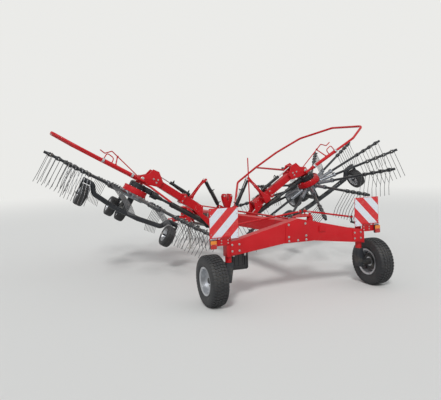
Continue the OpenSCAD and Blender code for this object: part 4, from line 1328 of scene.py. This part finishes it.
# %% Shaft guards
bell_line = mm(0, 51, 12, 56, 30, 57.5, 34, 63, 52, 64.5, 56, 70, 78, 72, 82, 76, 100, 77)
inner_line = mm(100, 74, 75, 68, 40, 60, 10, 52.5, 0, 50.2)
rib = Form().block((0.006, -0.003, -0.010), (0.075, 0.003, 0.006)).mesh(soft=0.001, segments=1)
for tag, side in SIDES:
    cones = Form().ring((0.160, 0, 0), LEFT, bell_line + inner_line, 40)
    for x in (0.30, 0.62, 0.90):
        cones.ring((x, 0, 0), RIGHT,
            mm(0, 49.5, 16, 49.5, 16, 54.5, 12, 56.5, 4, 56.5, 0, 54.5), 36)
    piece("guard_bells", cones, "shaft_tube", "guard_plastic", shaft_frame, tag)
    bell = shaft_frame @ at(0.150, 0, 0) @ about("Y", 180)
    rib_places = [bell @ about("X", 30 * k) @ at(0, 0, 0.060) @ about("Y", -14) for k in range(12)]
    repeat("bell_ribs", rib, rib_places, "shaft_tube", "guard_plastic", tag, 180)
    yoke = Form()
    yoke.ring((1.262, 0, 0), RIGHT,
        mm(0, 64.5, 110, 64.5, 116, 72, 128, 74, 128, 66, 110, 60, 0, 60), 40)
    for x in (1.285, 1.315, 1.345):
        yoke.ring((x, 0, 0), RIGHT, mm(0, 63.5, 12, 63.5, 10, 69.5, 2, 69.5), 40)
    yoke.turned((1.150, 0, 0), RIGHT, mm(0, 24, 6, 32, 85, 40, 118, 55), 28)
    piece("shaft_bellows", yoke, "rotor_gearbox", "guard_plastic", shaft_frame, tag)
print("bell ribs", 2 * 12)

# %% [markdown]
# ## Rotor heads
# The cam runs under a round red cover with a folded rim and a ring of bolts. The gearbox on it has
# two flanges with ribs between them, and the cast hub under it holds a socket with a clamp sleeve
# for each arm. Arms end in a plastic plug.

# %% Heads, hubs and arm ends
sleeve_mesh = Form().ring((0.20, 0, 0), RIGHT,
    mm(0, 32.5, 12, 40, 40, 41.5, 52, 36, 52, 32.5), 20).mesh()
clamp_form = Form().ring((0.505, 0, 0), RIGHT,
    mm(0, 32.5, 50, 32.5, 50, 38.5, 46, 40, 4, 40, 0, 38.5), 20)
clamp_form.block((0.507, -0.010, 0.034), (0.553, 0.010, 0.052))
clamp_mesh = clamp_form.mesh()
plug_mesh = Form().turned((1.792, 0, 0), RIGHT, mm(0, 24.6, 6, 24.6, 8.5, 20, 9.5, 6), 16).mesh()
web_mesh = Form().plate(mm(100, 54, 196, 54, 196, 46, 215, 30, 100, 30), -0.004, 0.004).mesh()
for tag, side in SIDES:
    repeat("socket_collars", sleeve_mesh, arm_places, "rotor", "cast_silver", tag, 180)
    repeat("socket_clamps", clamp_mesh, arm_places, "rotor", "cast_silver", tag, 180)
    repeat("arm_plugs", plug_mesh, arm_places, "rotor", "black_plastic", tag, 180)
    between = [m @ about("Z", ARM_STEP / 2) for m in mirrored(side, arm_places, 180)]
    repeat("hub_webs_" + tag, web_mesh, between, "rotor_" + tag, "cast_silver")
    lid = Form().ring((0, 0, 0.062), UP,
        mm(0, 226, 10, 226, 12, 233.5, 2, 233.5, -16, 230, -16, 226.5), 56)
    lid.ring((0, 0, 0.140), UP, mm(0, 205, 10, 205, 13, 210, 13, 222, 6, 227.5, 0, 227.5), 56)
    piece("cam_rim", lid, "rotor_head", "red_paint", rotor_frame, tag)
    box = Form()
    box.ring((0, 0, 0.150), UP, mm(0, 144, 0, 158, 12, 158, 15, 152, 15, 144), 44)
    box.ring((0, 0, 0.232), UP, mm(0, 144, 0, 156, 12, 156, 16, 150, 16, 144), 44)
    for x, y in circle_of(10, 0.1505, 0.15):
        d = Vector((x, y, 0)).normalized()
        n = Vector((-d.y, d.x, 0)) * 0.005
        a, b = d * 0.143, d * 0.153
        corners = [a + n, b + n, b - n, a - n]
        box.add([(p.x, p.y, z) for z in (0.160, 0.236) for p in corners], PRISM)
    box.turned((0.08, 0.095, 0.254), UP, mm(0, 13, 12, 13, 14, 8, 24, 8), 6)
    piece("gearbox_rings", box, "rotor_gearbox", "black_paint", rotor_frame, tag)
    trunnions = Form()
    for s in (-1, 1):
        y = s * 0.128
        trunnions.turned((0.028, y - s * 0.004, 0.357), (0, s, 0),
            mm(0, 34, 6, 34, 8, 29, 8, 16, 16, 14), 28)
    piece("gimbal_caps", trunnions, "boom_inner", "zinc_steel",
        head_frame @ at(-0.028, 0, 0), tag, 0.0008)
print("arm plugs", 2 * ARMS)

# %% [markdown]
# ## Guard arms
# The guard of each rotor is carried by a stronger outer tube at the head, which holds its rail with
# two clamps. The fold crank rests in an eye on a short stay, next to a grab handle.

# %% Guard sleeve, stay and handle
for tag, side in SIDES:
    root = Vector((0.125, -0.150, 0.3232))
    rail = (Vector((1.320, -0.150, 0.3319)) - root).normalized()
    outer = Form().ring(root, rail, mm(0, 24.3, 0, 34.5, 700, 34.5, 704, 32, 704, 24.3), 32)
    outer.bar((0.560, -0.150, 0.350), (0.560, 0.060, 0.508), 0.024, 16)
    outer.ring((0.548, 0.060, 0.5205), (0.958, 0, 0.287), mm(0, 10.8, 0, 19, 26, 19, 26, 10.8), 20)
    outer.turned((0.560, -0.150, 0.350), (0, 0.210, 0.158), capped(0.020, 0.020, 0.026, 0.013), 18)
    piece("guard_sleeve", outer, "guard", "red_paint", head_frame, tag, 0.0008)
    loop = eased([(0.640, -0.150, 0.350), (0.640, -0.120, 0.452),
        (0.790, -0.110, 0.476), (0.800, -0.140, 0.350)], 0.045)
    tube("guard_handle", [loop], 0.0095, "guard", "red_paint", 12, head_frame, tag)
    grips, screws = Form(), []
    for step in (0.060, 0.655):
        p = root + rail * step
        grips.ring(p, rail, mm(0, 34, 0, 42, 42, 42, 42, 34), 28)
        grips.block(p + Vector((0.002, -0.058, -0.012)), p + Vector((0.040, -0.038, 0.012)))
        screws.append((p.x + 0.021, p.y - 0.048, p.z + 0.012))
    piece("guard_clamps", grips, "guard", "silver_rim", head_frame, tag, 0.0012)
    bolts("guard_bolts", "guard", row(head_frame, UP, screws), tag, size=0.7)
print("guard arms", len(SIDES))

# %% [markdown]
# ## Chassis, castors and knuckles
# Silver caps close the chassis tube over the outer wheels, gussets stiffen its legs, and the castor
# turns on a pin with a nut. Each knuckle has a cap and a grease nipple on top of its
# kingpin.

# %% Running gear
nipple = Form().turned((0, 0, -0.002), UP,
    mm(0, 6, 6, 6, 6, 3.5, 12, 3.5, 15, 4.5, 18, 2.5), 8).mesh()
for tag, side in SIDES:
    legs = Form()
    for s in (-1, 1):
        legs.turned((s * 0.963, -0.205, -0.128), (s, 0, 0),
            mm(0, 44, 0, 47.5, 12, 47.5, 16, 42, 18, 12), 28)
    piece("chassis_caps", legs, "arm", "silver_rim", rotor_frame, tag)
    fins = Form()
    for s in (-1, 1):
        fins.plate(mm(-235, -300, -215, -300, -190, -165, -235, -165),
            s * 0.9675 - 0.014, s * 0.9675 - 0.002, "yz")
    fins.ring((0, CASTOR_Y + 0.080, -0.195), UP, mm(0, 48, 0, 56, 10, 56, 13, 50, 13, 48), 32)
    fins.ring((0, 0, -0.372), UP, mm(0, 59, 0, 74, 12, 74, 16, 66, 16, 59), 36)
    piece("chassis_gussets", fins, "arm", "graphite_paint", rotor_frame, tag, 0.0008)
    swivel = Form().turned((0, CASTOR_Y + 0.080, -0.083),
        UP, mm(0, 26, 6, 26, 6, 19, 24, 19, 26, 12), 6)
    piece("castor_nut", swivel, "castor", "zinc_steel", rotor_frame, tag, 0.0006)
    carrier = Form().ring((1.110, 0, 0.970), UP, mm(0.5, 26, 0.5, 40, 3, 40, 3, 26), 28)
    carrier.turned((1.110, 0, 1.022), UP, mm(0, 26, 8, 30, 22, 30, 28, 22, 30, 8), 24)
    carrier.turned((1.285, 0, 0.365), RIGHT, mm(0, 50, 6, 52, 18, 52, 22, 44), 32)
    piece("knuckle_caps", carrier, "knuckle", "black_paint", machine, tag, 0.0008)
    greased = row(machine, UP, [(1.110, 0.0, 1.052)])
    repeat("grease_nipples", nipple, greased, "knuckle", "zinc_steel", tag)
print("running gear dressed")

# %% [markdown]
# Boots and lock nuts belong to the steering, the jack has a crank, and each lower link pin ends in
# a collar with a cross pin.

# %% Steering joints, jack and hitch
boots = Form()
for x, y, z in ((0.120, 0.235, 1.095), (0.360, 0.435, 1.160), (0.440, 0.435, 1.160)):
    boots.ring((x, y, z), UP, mm(1, 10.5, 1, 17, 4, 20.5, 8, 18.5, 12, 20.5, 12.5, 10.5), 20)
piece("steering_boots", boots, "bellcrank", "hose_rubber", machine)
caps = Form()
for x, y, z in ((0.360, 0.435, 1.2115), (0.440, 0.435, 1.2115)):
    caps.turned((x, y, z - 0.002), UP, capped(0.015, 0.010, 0.012, 0.011), 6)
caps.turned((0.40, 0.235, 1.180), UP, capped(0.024, 0.012, 0.014, 0.018), 6)
piece("bellcrank_nuts", caps, "bellcrank", "zinc_steel", machine, "", 0.0006)
rod_root = Vector((0.120, 0.235, 1.094))
rod_way = (Vector((0.126, 4.70, 0.9725)) - rod_root).normalized()
clamp = Form()
for step, size in ((0.040, 0.021), (0.115, 0.0195), (0.60, 0.0225), (2.6, 0.0195), (4.33, 0.021)):
    p = rod_root + rod_way * step
    clamp.turned(p, rod_way, [(0, size), (0.022, size)], 6 if size < 0.022 else 20)
p = rod_root + rod_way * 0.60
clamp.turned(p - Vector((0, 0, 0.008)), UP, capped(0.016, 0.052, 0.056, 0.010), 16)
piece("rod_nuts", clamp, "steering_rod", "zinc_steel", machine, "", 0.0008)
for tag, side in SIDES:
    start_point = Vector((0.40 + side * 0.04, 0.435, 1.184))
    end_point = Vector((side * 1.15, 0.20, 1.062))
    way = (end_point - start_point).normalized()
    lock_nuts = Form()
    for p in (start_point + way * 0.036, end_point - way * 0.052):
        lock_nuts.turned(p, way, [(0, 0.0205), (0.018, 0.0205)], 6)
    piece("tie_rod_nuts_" + tag, lock_nuts, "tie_rod_" + tag, "zinc_steel", machine, "", 0.0006)
    tops = Form().turned((side * 1.15, 0.20, 1.083), UP, capped(0.014, 0.009, 0.011, 0.010), 6)
    piece("tie_pin_nuts_" + tag, tops, "knuckle_" + tag, "zinc_steel", machine, "", 0.0006)

crank = Form().turned((-0.150, 4.33, 1.010), UP, mm(0, 24, 16, 24, 20, 14, 34, 14), 20)
crank.block((-0.156, 4.22, 1.036), (-0.144, 4.345, 1.044))
crank.bar((-0.150, 4.232, 1.040), (-0.150, 4.232, 1.092), 0.012, 14)
crank.turned((-0.150, 4.232, 1.056), UP, mm(0, 10, 4, 14, 62, 14, 68, 10), 18)
crank.ring((-0.150, 4.33, 0.012), UP, mm(0, 29, 0, 50, 4, 50, 18, 36, 18, 29), 28)
piece("jack_crank", crank, "parking_jack", "zinc_steel", machine, "", 0.0008)
pin_collars = Form()
for s in (-1, 1):
    pin_collars.turned((s * 0.462, 4.96, 0.640), (s, 0, 0),
        capped(0.0135, 0.012, 0.0145, 0.010), 20)
    pin_collars.bar((s * 0.468, 4.96, 0.612), (s * 0.468, 4.96, 0.672), 0.006, 10)
pin_collars.turned((0, 4.70, 0.998), UP, capped(0.040, 0.006, 0.008, 0.034), 28)
piece("link_pins", pin_collars, "headstock", "zinc_steel", machine, "", 0.0008)
hook = eased([(-0.12, 4.84, 0.925), (-0.12, 4.80, 1.00),
    (-0.12, 4.72, 1.05), (-0.12, 4.66, 1.03), (-0.12, 4.655, 0.995)], 0.03)
tube("hose_hook", [hook], 0.006, "headstock", "red_paint", 10, machine)
print("steering, jack and hitch dressed")
